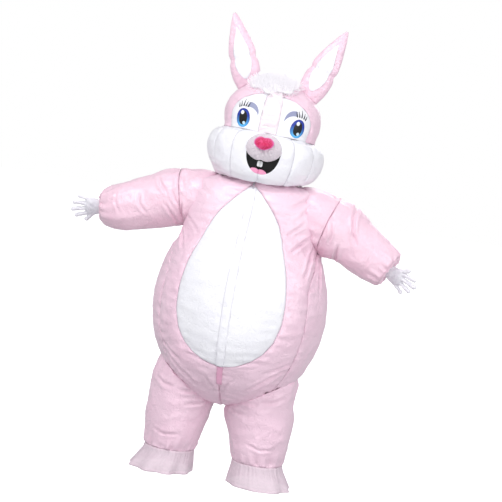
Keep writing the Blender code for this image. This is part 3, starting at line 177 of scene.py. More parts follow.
# Folds pressed into the cloth: a path of (angle, height), half width, depth. Angles are positive on the
# viewer's right; a fold past 90 degrees is on the back.
BODY_FOLDS = [
    (((72, 1.335), (45, 1.285), (27, 1.235)), 0.013, 0.0055),
    (((66, 1.30), (48, 1.245), (38, 1.19)), 0.010, 0.0035),
    (((-68, 1.33), (-50, 1.29), (-34, 1.26)), 0.012, 0.0040),
    (((-76, 1.115), (-60, 1.055), (-48, 1.01)), 0.012, 0.0050),
    (((-66, 1.165), (-50, 1.12), (-40, 1.085)), 0.010, 0.0040),
    (((64, 1.145), (50, 1.10), (41, 1.065)), 0.012, 0.0060),
    (((74, 1.10), (60, 1.03), (52, 0.965)), 0.013, 0.0060),
    (((52, 1.205), (42, 1.165), (35, 1.125)), 0.010, 0.0045),
    (((82, 1.05), (74, 0.98), (70, 0.91)), 0.012, 0.0040),
    (((52, 0.565), (36, 0.50), (22, 0.435)), 0.014, 0.0060),
    (((-52, 0.565), (-36, 0.50), (-22, 0.435)), 0.014, 0.0060),
    (((60, 0.62), (48, 0.575), (34, 0.545)), 0.012, 0.0035),
    (((-60, 0.62), (-46, 0.575), (-33, 0.545)), 0.012, 0.0035),
    (((12, 0.50), (5, 0.455), (2, 0.41)), 0.010, 0.0040),
    (((-14, 0.505), (-8, 0.46), (-3, 0.415)), 0.010, 0.0040),
    (((112, 1.10), (125, 1.05), (136, 1.01)), 0.012, 0.0050),
    (((-112, 1.10), (-126, 1.045), (-139, 1.0)), 0.012, 0.0050),
    (((118, 1.165), (132, 1.13), (146, 1.10)), 0.011, 0.0040),
    (((-118, 1.17), (-134, 1.13), (-148, 1.095)), 0.011, 0.0040),
    (((110, 1.33), (135, 1.295), (156, 1.27)), 0.013, 0.0045),
    (((-108, 1.33), (-133, 1.29), (-154, 1.26)), 0.013, 0.0045),
    (((128, 0.56), (146, 0.50), (160, 0.44)), 0.014, 0.0055),
    (((-128, 0.56), (-146, 0.50), (-160, 0.44)), 0.014, 0.0055),
]
# The same on a sleeve and a leg: a path of (degrees round it, share along it). A sleeve's turn starts at
# the back on the right and at the front on the left; a leg's starts at +X.
ARM_FOLDS = {
    "right": [
        (((225, 0.20), (250, 0.24), (278, 0.22)), 0.011, 0.0060), (((205, 0.27), (240, 0.31), (285, 0.30)), 0.010, 0.0050),
        (((112, 0.50), (135, 0.53), (160, 0.60), (176, 0.68)), 0.010, 0.0085),
        (((75, 0.47), (100, 0.49), (120, 0.515)), 0.010, 0.0060),
        (((196, 0.56), (232, 0.60), (262, 0.59)), 0.011, 0.0065), (((150, 0.80), (180, 0.84), (214, 0.83)), 0.009, 0.0030),
        (((300, 0.30), (330, 0.36), (352, 0.40)), 0.011, 0.0045), (((318, 0.62), (345, 0.66), (372, 0.64)), 0.010, 0.0040),
        (((60, 0.30), (88, 0.33), (118, 0.31)), 0.010, 0.0030), (((168, 0.40), (188, 0.45), (206, 0.47)), 0.010, 0.0045),
    ],
    "left": [
        (((330, 0.33), (352, 0.37), (378, 0.39)), 0.010, 0.0050), (((300, 0.25), (325, 0.29), (350, 0.29)), 0.011, 0.0060),
        (((290, 0.40), (320, 0.42), (352, 0.46)), 0.010, 0.0045), (((8, 0.42), (34, 0.46), (60, 0.47)), 0.010, 0.0040),
        (((20, 0.30), (45, 0.33), (76, 0.32)), 0.010, 0.0035), (((340, 0.62), (362, 0.66), (385, 0.65)), 0.010, 0.0035),
        (((190, 0.28), (215, 0.32), (246, 0.31)), 0.011, 0.0045), (((160, 0.55), (188, 0.58), (214, 0.57)), 0.010, 0.0035),
        (((345, 0.82), (372, 0.85), (396, 0.84)), 0.009, 0.0025),
    ],
}
LEG_FOLDS = {
    "left": [
        (((330, 0.30), (300, 0.38), (268, 0.40)), 0.013, 0.0050), (((345, 0.42), (315, 0.50), (286, 0.52)), 0.012, 0.0040),
        (((215, 0.30), (240, 0.36), (262, 0.37)), 0.012, 0.0040), (((20, 0.34), (50, 0.42), (85, 0.44)), 0.012, 0.0040),
        (((230, 0.80), (262, 0.84), (290, 0.82)), 0.010, 0.0030), (((120, 0.70), (150, 0.75), (176, 0.73)), 0.011, 0.0030),
    ],
    "right": [
        (((212, 0.30), (242, 0.38), (274, 0.40)), 0.013, 0.0050), (((198, 0.42), (228, 0.50), (258, 0.52)), 0.012, 0.0040),
        (((325, 0.30), (300, 0.36), (278, 0.37)), 0.012, 0.0040), (((160, 0.34), (130, 0.42), (96, 0.44)), 0.012, 0.0040),
        (((250, 0.78), (280, 0.83), (312, 0.81)), 0.010, 0.0035), (((20, 0.70), (48, 0.75), (74, 0.73)), 0.011, 0.0030),
    ],
}


# Form of the suit: the same curves as the solids, on finer rows


def curve_at(rows, run, s):
    """A cubic through the rows, each with the slope between its two neighbours."""
    slope = np.gradient(rows, run, axis=0)
    s = np.clip(np.asarray(s, float), run[0], run[-1])
    i = np.clip(np.searchsorted(run, s, side="right") - 1, 0, len(run) - 2)
    h = (run[i + 1] - run[i])[..., None]
    t = ((s - run[i]) / (run[i + 1] - run[i]))[..., None]
    return (
        (2 * t**3 - 3 * t**2 + 1) * rows[i]
        + (t**3 - 2 * t**2 + t) * h * slope[i]
        + (3 * t**2 - 2 * t**3) * rows[i + 1]
        + (t**3 - t**2) * h * slope[i + 1]
    )


def column(table, k):
    return [row[k] for row in table]


def edge_angle(table, height):
    return np.interp(height, column(table, 0), column(table, 1), left=0, right=0)


def chin_drop(height, cosine):
    return np.interp(height, column(CHIN_DROP, 0), column(CHIN_DROP, 1)) * np.clip(cosine, 0, 1) ** 1.2


def side_seam(height):
    """The angle of the seam between a front gore and a side gore."""
    rise = np.clip((height - 0.90) / 0.204, 0, 1)
    fall = np.clip((0.42 - height) / 0.02, 0, 1)
    return 57.0 + 33.0 * np.maximum(rise**1.6, fall)


def puff_between(angle, low, high, depth):
    width = np.maximum(high - low, 1e-6)
    u = np.clip((angle - low) / width, 0, 1)
    return depth * np.minimum(1, width / 20.0) * (4 * u * (1 - u)) ** 0.8


def body_puffs(angle, height):
    belly, seam = edge_angle(BELLY, height), side_seam(height)
    puff = np.select(
        [angle < belly, angle < seam, angle < 180 - seam],
        [
            puff_between(angle, -belly, belly, BODY_PUFF),
            puff_between(angle, belly, seam, BODY_PUFF),
            puff_between(angle, seam, 180 - seam, BODY_PUFF),
        ],
        puff_between(angle, 180 - seam, 180.0, BODY_PUFF),
    )
    return puff * np.clip((NECK_HEIGHT - height) / 0.045, 0, 1) * np.clip((height - 0.340) / 0.045, 0, 1)


def head_puffs(angle, height):
    chin, cheek, ear_line = CHEEK_SEAMS
    back = puff_between(angle, ear_line, 180.0, HEAD_PUFF)
    lower = np.select(
        [angle < chin, angle < cheek, angle < ear_line],
        [
            puff_between(angle, 0.0, chin, HEAD_PUFF),
            puff_between(angle, chin, cheek, HEAD_PUFF),
            puff_between(angle, cheek, ear_line, HEAD_PUFF),
        ],
        back,
    )
    patch = np.maximum(edge_angle(EYE_PATCH, height), BROW_HALF_ANGLE)
    upper = np.select(
        [angle < BROW_HALF_ANGLE, angle < patch, angle < ear_line],
        [
            puff_between(angle, -BROW_HALF_ANGLE, BROW_HALF_ANGLE, HEAD_PUFF),
            puff_between(angle, BROW_HALF_ANGLE, patch, HEAD_PUFF),
            puff_between(angle, patch, ear_line, HEAD_PUFF),
        ],
        back,
    )
    blend = np.clip((height - CREASE_HEIGHT + 0.004) / 0.008, 0, 1)
    return (lower * (1 - blend) + upper * blend) * np.clip((height - 1.3605) / 0.045, 0, 1)


def head_place():
    pivot = Matrix.Translation((0.0, 0.0, NECK_HEIGHT))
    turn = Matrix.Rotation(math.radians(4.5), 4, "Z")
    tilt = Matrix.Rotation(math.radians(3.2), 4, "Y")
    return Matrix.Translation((0.0, 0.0, 0.0103)) @ pivot @ tilt @ turn @ pivot.inverted()


def moved(points, place):
    return np.asarray(points) @ np.array(place.to_3x3()).T + np.array(place.translation)


class Skin:
    """A closed form of oval sections, with seams running up it."""

    def __init__(self, rows, puffs, place=None, drop=None):
        self.rows = np.array(rows, float)
        steps = np.diff(self.rows[:, :3], axis=0)
        self.run = np.concatenate([[0], np.cumsum(np.linalg.norm(steps, axis=1))])
        self.puffs, self.place, self.drop = puffs, place, drop
        self.steps = np.linspace(0, self.run[-1], 3000)
        self.heights = np.maximum.accumulate(curve_at(self.rows, self.run, self.steps)[:, 0])

    def along(self, height):
        return np.interp(height, self.heights, self.steps)

    def section(self, s):
        return np.moveaxis(curve_at(self.rows, self.run, s), -1, 0)

    def plain(self, angle, s):
        height, width, front, back = self.section(s)
        turn = np.radians(angle)
        depth = np.where(np.cos(turn) > 0, front, back)
        if self.drop:
            height = height - self.drop(height, np.cos(turn))
        return np.stack([width * np.sin(turn), -depth * np.cos(turn), height], -1)

    def normal(self, angle, s):
        low, high = np.clip(s - 2e-4, 0, self.run[-1]), np.clip(s + 2e-4, 0, self.run[-1])
        up = self.plain(angle, high) - self.plain(angle, low)
        around = self.plain(angle + 0.1, s) - self.plain(angle - 0.1, s)
        normal = np.cross(around, up)
        return normal / np.maximum(np.linalg.norm(normal, axis=-1, keepdims=True), 1e-12)

    def at(self, angle, s, lift=0.0):
        """Points on the outer face, moved out by lift, in table heights."""
        angle, s = np.broadcast_arrays(np.asarray(angle, float), np.asarray(s, float))
        level = self.section(s)[0]
        out = self.puffs(np.abs(angle), level) + lift
        points = self.plain(angle, s) + self.normal(angle, s) * out[..., None]
        if self.place is None:
            return points
        bend = np.clip((level[..., None] - NECK_HEIGHT) / NECK_BEND, 0, 1)
        bend = bend**2 * (3 - 2 * bend)
        return points + bend * (moved(points, self.place) - points)


TRUNK = Skin(BODY, body_puffs)
HEAD_SKIN = Skin(HEAD, head_puffs, head_place(), chin_drop)


# Relief of puffed nylon


def ripple(points, wave, seed, terms=9):
    """A smooth uneven field over points, from about -1 to 1, with features about half a wave across."""
    draw = np.random.default_rng(seed)
    points = np.asarray(points, float)
    total = np.zeros(points.shape[:-1])
    for _ in range(terms):
        way = draw.normal(size=points.shape[-1])
        way /= np.linalg.norm(way)
        total += np.sin(points @ (way * 2 * math.pi / (wave * draw.uniform(0.75, 1.5))) + draw.uniform(0, 6.28))
    return total / math.sqrt(terms)


def seam_pull(along, distance, seed, amount=1.0):
    """Short gathers square to a seam, a few near its thread and fewer farther out, with the seam pulled in."""
    drift = np.stack([along, distance * 0.35], -1)
    near = ripple(drift, 0.017, seed, 7) * np.exp(-distance / 0.013) * 0.0011
    far = ripple(drift, 0.040, seed + 1, 7) * np.exp(-distance / 0.045) * 0.0022
    rise = 1 - np.exp(-distance / 0.006)
    valley = -0.0012 * np.exp(-((distance / 0.006) ** 2))
    return GATHER_STRENGTH * amount * (near + far) * rise + valley


def pressed(folds, across, along, degree, closed=False):
    """Hand-placed folds: a soft trough with a ridge on each side, fading at its ends.

    across is in degrees and degree the metres in one of them; along is in metres.
    """
    total = np.zeros(np.broadcast(across, along).shape)
    for path, width, depth in folds:
        path = np.array(path, float)
        run = np.linspace(0, len(path) - 1, 26)
        spots = np.stack([np.interp(run, range(len(path)), path[:, k]) for k in (0, 1)], -1)
        fade = np.sin(np.linspace(0, math.pi, len(spots))) ** 0.6
        best = np.full(total.shape, 1.0)
        strength = np.zeros(total.shape)
        for (turn, rise), share in zip(spots, fade):
            gap = across - turn
            if closed:
                gap = (gap + 180) % 360 - 180
            distance = np.hypot(gap * degree, along - rise)
            closer = distance < best
            strength = np.where(closer, share, strength)
            best = np.minimum(best, distance)
        trough = np.exp(-((best / (0.55 * width)) ** 2))
        ridge = np.exp(-(((best - 1.35 * width) / (0.6 * width)) ** 2))
        total += FOLD_STRENGTH * depth * strength * (0.55 * ridge - trough)
    return total


def crumple(points, seed, amount):
    """Broad dents with soft ridges between them, which blown-up nylon shows everywhere."""
    broad = ripple(points, 0.16, seed)
    ridged = 1 - np.abs(ripple(points, 0.085, seed + 1))
    fine = 1 - np.abs(ripple(points, 0.034, seed + 2))
    return CRUMPLE_STRENGTH * amount * (0.0012 * broad + 0.0010 * ridged + 0.00045 * fine - 0.0008)


# Meshes


def make_object(name, points, faces, uv=None, seam=None):
    """An object of these points and faces. uv is a point's place on the cloth in metres, seam its seam shade."""
    points = np.array(points, float).reshape(-1, 3)
    points[:, 2] -= MOUNT_HEIGHT
    mesh = bpy.data.meshes.new(name)
    mesh.from_pydata(points.tolist(), [], faces)
    if uv is not None:
        uv = np.asarray(uv, float).reshape(-1, 2)
        layer = mesh.uv_layers.new(name="cloth")
        index = np.empty(len(mesh.loops), np.int32)
        mesh.loops.foreach_get("vertex_index", index)
        layer.data.foreach_set("uv", uv[index].astype(np.float32).ravel())
    shade = mesh.attributes.new("seam", "FLOAT", "POINT")
    values = np.ones(len(points), np.float32) if seam is None else np.asarray(seam, np.float32).ravel()
    shade.data.foreach_set("value", values)
    mesh.shade_smooth()
    obj = bpy.data.objects.new(name, mesh)
    bpy.context.scene.collection.objects.link(obj)
    return obj


def grid_faces(rows, columns, closed=False):
    """Quads over a grid whose columns run anticlockwise seen from outside, rows going up."""
    i, j = np.meshgrid(np.arange(rows - 1), np.arange(columns if closed else columns - 1), indexing="ij")
    k = (j + 1) % columns
    quads = np.stack([i * columns + j, i * columns + k, (i + 1) * columns + k, (i + 1) * columns + j], -1)
    return quads.reshape(-1, 4)


def open_grid(points, value):
    """A grid's points pulled to the edge of a hole, and the faces that stay.

    value is negative at points in the hole. A point just inside moves along the line to a neighbour
    outside it until the value is nought.
    """
    moved_points = points.copy()
    kept = value >= 0
    rows, columns = value.shape
    snapped = kept.copy()
    for di, dj in ((0, 1), (0, -1), (1, 0), (-1, 0), (1, 1), (1, -1), (-1, 1), (-1, -1)):
        here = (slice(max(0, -di), rows - max(0, di)), slice(max(0, -dj), columns - max(0, dj)))
        there = (slice(max(0, di), rows - max(0, -di)), slice(max(0, dj), columns - max(0, -dj)))
        take = ~snapped[here] & kept[there]
        share = value[there] / np.maximum(value[there] - value[here], 1e-9)
        edge = points[there] + (points[here] - points[there]) * share[..., None]
        moved_points[here] = np.where(take[..., None], edge, moved_points[here])
        fresh = snapped[here]
        fresh |= take
        snapped[here] = fresh
    faces = grid_faces(rows, columns)
    keep = snapped.reshape(-1)[faces].all(1)
    return moved_points, faces[keep]


def used_only(points, faces, *per_point):
    """Drops the points that no face uses, from the points and from what goes with them."""
    points = np.asarray(points).reshape(-1, 3)
    used = np.unique(faces)
    place = np.zeros(len(points), int)
    place[used] = np.arange(len(used))
    rest = [np.asarray(each).reshape(len(points), -1)[used] for each in per_point]
    return points[used], place[faces].tolist(), *rest


def wall(obj, thickness, outward=False):
    """Gives a sheet its thickness, inwards from its outer face."""
    shell = obj.modifiers.new("wall", "SOLIDIFY")
    shell.thickness = thickness
    shell.offset = 1.0 if outward else -1.0
    shell.use_even_offset = False


def cloth_sheet(obj):
    """Declares a piece as a sheet. Its flat area is that of its own outer face, folds included, as nylon
    doesn't stretch, so a check of the area against this mesh agrees by construction. No panel is flattened.
    """
    mesh = obj.data
    count = len(mesh.vertices)
    points = np.empty(count * 3)
    mesh.vertices.foreach_get("co", points)
    points = points.reshape(-1, 3)
    area = sum(face.area for face in mesh.polygons)
    length = float(obj.get("cut_length", 0.0)) or float(np.ptp(points[:, 2]))
    width = float(obj.get("cut_width", 0.0)) or area / max(length, 0.01)
    width = max(width, area / length)


# Shader maths as Python expressions


class Value:
    """A number socket, on which arithmetic adds Math nodes."""

    def __init__(self, tree, socket):
        self.tree, self.socket = tree, socket

    def maths(self, operation, *others, clamp=False):
        node = self.tree.nodes.new("ShaderNodeMath")
        node.operation = operation
        node.use_clamp = clamp
        for slot, value in zip(node.inputs, (self, *others)):
            if isinstance(value, Value):
                self.tree.links.new(value.socket, slot)
            else:
                slot.default_value = float(value)
        return Value(self.tree, node.outputs[0])

    def __add__(self, other):
        return self.maths("ADD", other)

    __radd__ = __add__

    def __sub__(self, other):
        return self.maths("SUBTRACT", other)

    def __rsub__(self, other):
        return (self * -1.0) + other

    def __mul__(self, other):
        return self.maths("MULTIPLY", other)

    __rmul__ = __mul__

    def __truediv__(self, other):
        return self.maths("DIVIDE", other)

    def __pow__(self, other):
        return self.maths("POWER", other)

    def absolute(self):
        return self.maths("ABSOLUTE")

    def sine(self):
        return self.maths("SINE")

    def most(self, other):
        return self.maths("MAXIMUM", other)

    def root(self):
        return self.maths("SQRT")

    def unit(self):
        """Held between 0 and 1."""
        return self.maths("ADD", 0.0, clamp=True)


class Finish:
    """A material and the nodes of its Principled shader."""

    def __init__(self, name, **shader):
        self.material = bpy.data.materials.new(name)
        self.material.use_nodes = True
        self.tree = self.material.node_tree
        self.shader = self.tree.nodes["Principled BSDF"]
        for socket, value in shader.items():
            self.set(socket.replace("_", " "), value)

    def set(self, socket, value):
        self.put(self.shader.inputs[socket], value)

    def put(self, slot, value):
        if isinstance(value, Value):
            self.tree.links.new(value.socket, slot)
        elif isinstance(value, bpy.types.NodeSocket):
            self.tree.links.new(value, slot)
        elif hasattr(value, "__len__") and len(value) == 3 and slot.type == "RGBA":
            slot.default_value = (*value, 1.0)
        else:
            slot.default_value = value

    def node(self, kind, settings=(), **inputs):
        """A node of this type, with its settings made first and then the values or links of its sockets."""
        node = self.tree.nodes.new(kind)
        for name, value in dict(settings).items():
            setattr(node, name, value)
        for name, value in inputs.items():
            self.put(node.inputs[name.replace("_", " ")], value)
        return node

    def number(self, socket):
        return Value(self.tree, socket)

    def object_point(self):
        return self.node("ShaderNodeTexCoord").outputs["Object"]

    def split(self, vector):
        parts = self.node("ShaderNodeSeparateXYZ", Vector=vector)
        return [self.number(parts.outputs[k]) for k in range(3)]

    def cloth_point(self):
        return self.node("ShaderNodeUVMap", {"uv_map": "cloth"}).outputs[0]

    def attribute(self, name):
        node = self.node("ShaderNodeAttribute", {"attribute_name": name, "attribute_type": "GEOMETRY"})
        return self.number(node.outputs["Fac"])

    def noise(self, vector, scale, detail=3.0, rough=0.5, twist=0.0):
        node = self.node("ShaderNodeTexNoise", Vector=vector, Scale=scale, Detail=detail, Roughness=rough)
        node.inputs["Distortion"].default_value = twist
        return self.number(node.outputs["Fac"])

    def mix(self, share, low, high):
        node = self.node("ShaderNodeMix", {"data_type": "RGBA"})
        self.put(node.inputs[0], share)
        self.put(node.inputs[6], low)
        self.put(node.inputs[7], high)
        return node.outputs[2]

    def bump(self, height, distance, strength=1.0):
        node = self.node("ShaderNodeBump", Height=height, Distance=distance, Strength=strength)
        self.set("Normal", node.outputs[0])

    def weave(self, threads):
        """Threads over and under each other, on the cloth's own map, so many to the metre."""
        u, v, _ = self.split(self.cloth_point())
        return ((u * (2 * math.pi * threads)).sine() * (v * (2 * math.pi * threads)).sine()) * 0.5 + 0.5


def nylon(name, colour, shade, prints=None, crinkle=1.0, roughness=0.36):
    """Thin coated nylon: a fine weave, crushed creases in its gloss, and a deeper colour along its seams."""
    gloss = 0.3 if prints else 1.0
    cloth = Finish(name, Sheen_Weight=0.08 * gloss, Sheen_Roughness=0.4, Coat_Weight=0.5 * gloss, Coat_Roughness=0.30)
    cloth.set("Sheen Tint", (1.0, 0.96, 0.98))
    cloth.set("Specular IOR Level", 0.5 * gloss)
    point = cloth.object_point()
    broad = cloth.noise(point, 9.0, 3.0, 0.55)
    dents = cloth.noise(point, 34.0, 4.0, 0.62, 1.1)
    fine = cloth.noise(point, 130.0, 3.0, 0.6, 0.6)
    seam = cloth.attribute("seam")
    ridge = 1 - ((dents - 0.5).absolute() * 5.0).unit()
    # Painted shade: the seam shade and the crinkle ridges mix in the shade colour; the broad noise varies the tone at
    # random.
    tone = ((1 - seam) * 0.45 + (broad - 0.42) * 0.9 + ridge * 0.18 * crinkle).unit()
    base = cloth.mix(tone, colour, shade)
    if prints:
        base = prints(cloth, base)
    cloth.set("Base Color", base)
    cloth.set("Roughness", (roughness - 0.06 + (fine * 0.14) + ridge * 0.05).unit())
    height = ridge * 0.70 * crinkle + dents * 1.0 * crinkle + broad * 1.2 + fine * 0.10 + cloth.weave(900.0) * 0.02
    cloth.bump(height, 0.0034, 0.60)
    return cloth.material


def oval(u, v, centre, half, soft):
    """1 inside an oval of the print and 0 outside, over a soft edge in metres."""
    reach = (((u - centre[0]) / half[0]) ** 2 + ((v - centre[1]) / half[1]) ** 2).root()
    return ((1 - reach) * (min(half) / soft) + 0.5).unit()


def stroke(u, v, start, end, width):
    """1 on a tapering stroke between two points of the print."""
    du, dv = end[0] - start[0], end[1] - start[1]
    length = du * du + dv * dv
    share = (((u - start[0]) * du + (v - start[1]) * dv) / length).unit()
    gap = (((u - start[0]) - share * du) ** 2 + ((v - start[1]) - share * dv) ** 2).root()
    half = (1 - share * 0.72) * width
    return ((half - gap) / 0.0007 + 0.5).unit()


def eye_print(inward):
    """A cartoon eye of plain ovals, with a lid and lashes over it. inward is the sign of u towards the nose."""

    def paint(cloth, base):
        u, v, _ = cloth.split(cloth.cloth_point())
        u, v = u * 1.07, v * 1.07
        nosewards = u * inward
        rim = oval(u, v, (0.0, 0.0), (0.0372, 0.0448), 0.0007)
        iris = oval(u, v, (0.0, -0.0006), (0.0335, 0.0412), 0.0008)
        inner = oval(u, v, (0.0, -0.0020), (0.0275, 0.0355), 0.0030)
        pupil = oval(u, v, (0.0008, 0.0005), (0.0222, 0.0330), 0.0008)
        glint = oval(u, v, (-0.0052, 0.0250), (0.0088, 0.0092), 0.0009)
        spark = oval(u, v, (0.0082, -0.0215), (0.0075, 0.0080), 0.0014)
        rise = ((v + 0.036) * 21.0).unit()
        deep = cloth.mix(rise, (0.055, 0.33, 0.74), (0.012, 0.016, 0.26))
        bright = cloth.mix(rise, (0.13, 0.52, 0.86), (0.045, 0.10, 0.48))
        out = cloth.mix(rim, base, deep)
        out = cloth.mix(iris * (1 - inner) * 0.55, out, bright)
        out = cloth.mix(inner, out, cloth.mix(rise, (0.12, 0.50, 0.85), (0.03, 0.06, 0.38)))
        out = cloth.mix(pupil, out, (0.016, 0.015, 0.014))
        out = cloth.mix(spark * 0.92, out, (0.62, 0.82, 0.95))
        out = cloth.mix(glint, out, (0.95, 0.96, 1.0))
        lid = oval(nosewards, v, (0.026, 0.028), (0.047, 0.052), 0.0009)
        under = oval(nosewards, v, (0.021, 0.008), (0.053, 0.047), 0.0009)
        tip = ((nosewards - 0.010) / 0.012).unit()
        out = cloth.mix(lid * (1 - under) * tip, out, (0.30, 0.32, 0.47))
        for foot, top in (
            ((-0.0300, 0.0500), (-0.0400, 0.0700)), ((-0.0200, 0.0545), (-0.0275, 0.0795)),
            ((-0.0075, 0.0575), (-0.0095, 0.0930)), ((0.0045, 0.0575), (0.0085, 0.0820)),
            ((0.0165, 0.0560), (0.0225, 0.0790)),
        ):
            out = cloth.mix(stroke(nosewards, v, foot, top, 0.0040), out, (0.030, 0.035, 0.045))
        return out

    return paint


def mouth_print(cloth, base):
    """A plain smiling mouth under the window, with a tongue and one tooth."""
    x, z, _ = cloth.split(cloth.cloth_point())
    bowl = oval(x, z, (0.006, 1.470), (0.0725, 0.094), 0.0008)
    mouth = bowl * ((1.4735 - z) / 0.0008).unit()
    left_lobe = oval(x, z, (-0.0200, 1.3800), (0.0240, 0.0195), 0.0008)
    right_lobe = oval(x, z, (0.0120, 1.3700), (0.0290, 0.0265), 0.0008)
    tooth = ((x - 0.0005) / 0.0118) ** 4 + ((z - 1.4190) / 0.0125) ** 4
    tooth = ((1 - tooth) * 6.0 + 0.5).unit()
    out = cloth.mix(mouth, base, (0.004, 0.004, 0.004))
    out = cloth.mix(mouth * left_lobe.most(right_lobe), out, (0.90, 0.36, 0.56))
    tint = cloth.mix((((x - 0.0005).absolute()) * 90.0).unit(), (0.84, 0.85, 0.85), (0.90, 0.90, 0.92))
    return cloth.mix(mouth * tooth, out, tint)


def ruffle_cloth(name, colour, shade):
    """Sheer nylon, thin enough to let the floor show a little."""
    cloth = Finish(name, Sheen_Weight=0.18, Sheen_Roughness=0.35)
    gathers = cloth.noise(cloth.cloth_point(), 55.0, 3.0, 0.6)
    # The seam attribute darkens the ankle's elastic, partly the seam and partly a painted shadow under the leg's end,
    # and the hem's stitch row and double layer; the gathers noise paints shade in the gathers.
    tone = ((1 - cloth.attribute("seam")) * 0.9 + (gathers - 0.5) * 0.6).unit()
    cloth.set("Base Color", cloth.mix(tone, colour, shade))
    cloth.set("Roughness", 0.48)
    cloth.set("Alpha", ((1 - cloth.attribute("seam")) * 0.5 + 0.74 + (gathers - 0.5) * 0.3).unit())
    cloth.bump(gathers + cloth.weave(700.0) * 0.1, 0.0016, 0.5)
    return cloth.material


def film_finish():
    """Crinkled clear plastic, greyish over the dark inside of the head."""
    film = Finish("clear_film", Roughness=0.22, Coat_Weight=0.35, Coat_Roughness=0.12)
    point = film.object_point()
    crush = film.noise(point, 48.0, 5.0, 0.6, 1.6)
    streak = film.noise(point, 20.0, 3.0, 0.55, 0.8)
    tone = ((crush - 0.35) * 1.6).unit() * 0.6 + ((streak - 0.4) * 1.4).unit() * 0.4
    film.set("Base Color", film.mix(tone, (0.86, 0.78, 0.83), (0.62, 0.55, 0.60)))
    film.set("Alpha", (0.80 + tone * 0.16).unit())
    film.bump(crush + streak * 0.6, 0.0026, 0.55)
    return film.material


def plush_finish():
    """Short crushed pile, hot pink where it stands up and crimson where it lies over."""
    plush = Finish("crimson_plush", Roughness=0.85, Sheen_Weight=0.7, Sheen_Roughness=0.45)
    plush.set("Sheen Tint", (1.0, 0.42, 0.66))
    point = plush.object_point()
    lay = plush.noise(point, 52.0, 3.0, 0.6, 1.2)
    pile = plush.noise(point, 620.0, 2.0, 0.7)
    edge = plush.attribute("seam")
    tone = ((lay - 0.40) * 3.2 + (pile - 0.5) * 0.5).unit()
    body = plush.mix(tone, (0.58, 0.012, 0.085), (0.84, 0.085, 0.26))
    plush.set("Base Color", plush.mix((1 - edge).unit(), body, (0.86, 0.16, 0.50)))
    plush.bump(pile * 0.7 + lay * 0.8, 0.0016, 0.9)
    return plush.material


def fur_finish(name, root, tip):
    """Long white fur, a little shaded towards its roots."""
    fur = Finish(name, Roughness=0.55, Sheen_Weight=0.4)
    fur.set("Sheen Tint", (1.0, 0.97, 1.0))
    # Painted glow: a faint white emission stands in for light scattered through the hairs.
    fur.set("Emission Color", (1.0, 0.98, 1.0))
    fur.set("Emission Strength", 0.13)
    tuft = fur.noise(fur.object_point(), 40.0, 2.0, 0.6)
    # Painted shade: the darker root white, in patches set by a noise.
    fur.set("Base Color", fur.mix(((tuft - 0.35) * 2.0).unit(), tip, root))
    fur.bump(fur.noise(fur.object_point(), 300.0, 3.0, 0.7), 0.0012, 0.6)
    return fur.material


def knit_finish():
    """Thin stretch glove knit with fine courses."""
    knit = Finish("white_knit", Roughness=0.72, Sheen_Weight=0.30, Sheen_Roughness=0.5)
    x, y, z = knit.split(knit.object_point())
    courses = ((x * 2400.0).sine() * (z * 2100.0 + y * 900.0).sine()) * 0.5 + 0.5
    soft = knit.noise(knit.object_point(), 60.0, 3.0, 0.6)
    knit.set("Base Color", knit.mix(((soft - 0.36) * 2.0).unit(), (0.87, 0.86, 0.90), (0.73, 0.70, 0.78)))
    knit.bump(courses * 0.35 + soft * 0.8, 0.0018, 0.6)
    return knit.material


def metal_finish():
    """Nickel-plated zip metal, rubbed brighter in streaks."""
    metal = Finish("zip_metal", Metallic=1.0, Roughness=0.28)
    rub = metal.noise(metal.object_point(), 500.0, 3.0, 0.6)
    metal.set("Base Color", metal.mix(rub, (0.62, 0.60, 0.62), (0.82, 0.80, 0.82)))
    metal.set("Roughness", rub * 0.20 + 0.20)
    metal.bump(rub, 0.0002, 0.4)
    return metal.material


def thread_finish(name, colour):
    thread = Finish(name, Roughness=0.7, Sheen_Weight=0.3)
    twist = thread.noise(thread.object_point(), 1500.0, 2.0)
    thread.set("Base Color", thread.mix(twist, colour, tuple(0.86 * c for c in colour)))
    thread.bump(twist, 0.0003, 0.4)
    return thread.material


FINISHES = {}


def finish_of(name, make, *values):
    """The material of this name, made the first time that a piece asks for it."""
    if name not in FINISHES:
        FINISHES[name] = make(*values)
    return FINISHES[name]


# Pieces of cloth


def sizes():
    return bpy.context.scene.costume_cloth


def dress(obj, node, material, thickness=None, outward=False, sheet=True):
    """Gives a finished piece its material, wall and body, and lets it stand for its CAD node."""
    obj.data.materials.append(material)
    if thickness:
        wall(obj, thickness, outward)
    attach(obj, "suit")
    if node:
        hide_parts(node)
    if sheet:
        cloth_sheet(obj)
    return obj


def cut_size(obj, length, width):
    obj["cut_length"], obj["cut_width"] = float(length), float(width)


# Painted shade along seams: a narrow dark band, partly the seam itself and partly painted shade in its valley, and a
# wider painted shade over the gathers beside it.
def seam_shade(*distances):
    shade = 1.0
    for distance in distances:
        shade = shade - 0.40 * np.exp(-np.asarray(distance) / 0.0045) - 0.15 * np.exp(-np.asarray(distance) / 0.03)
    return np.clip(shade, 0, 1)


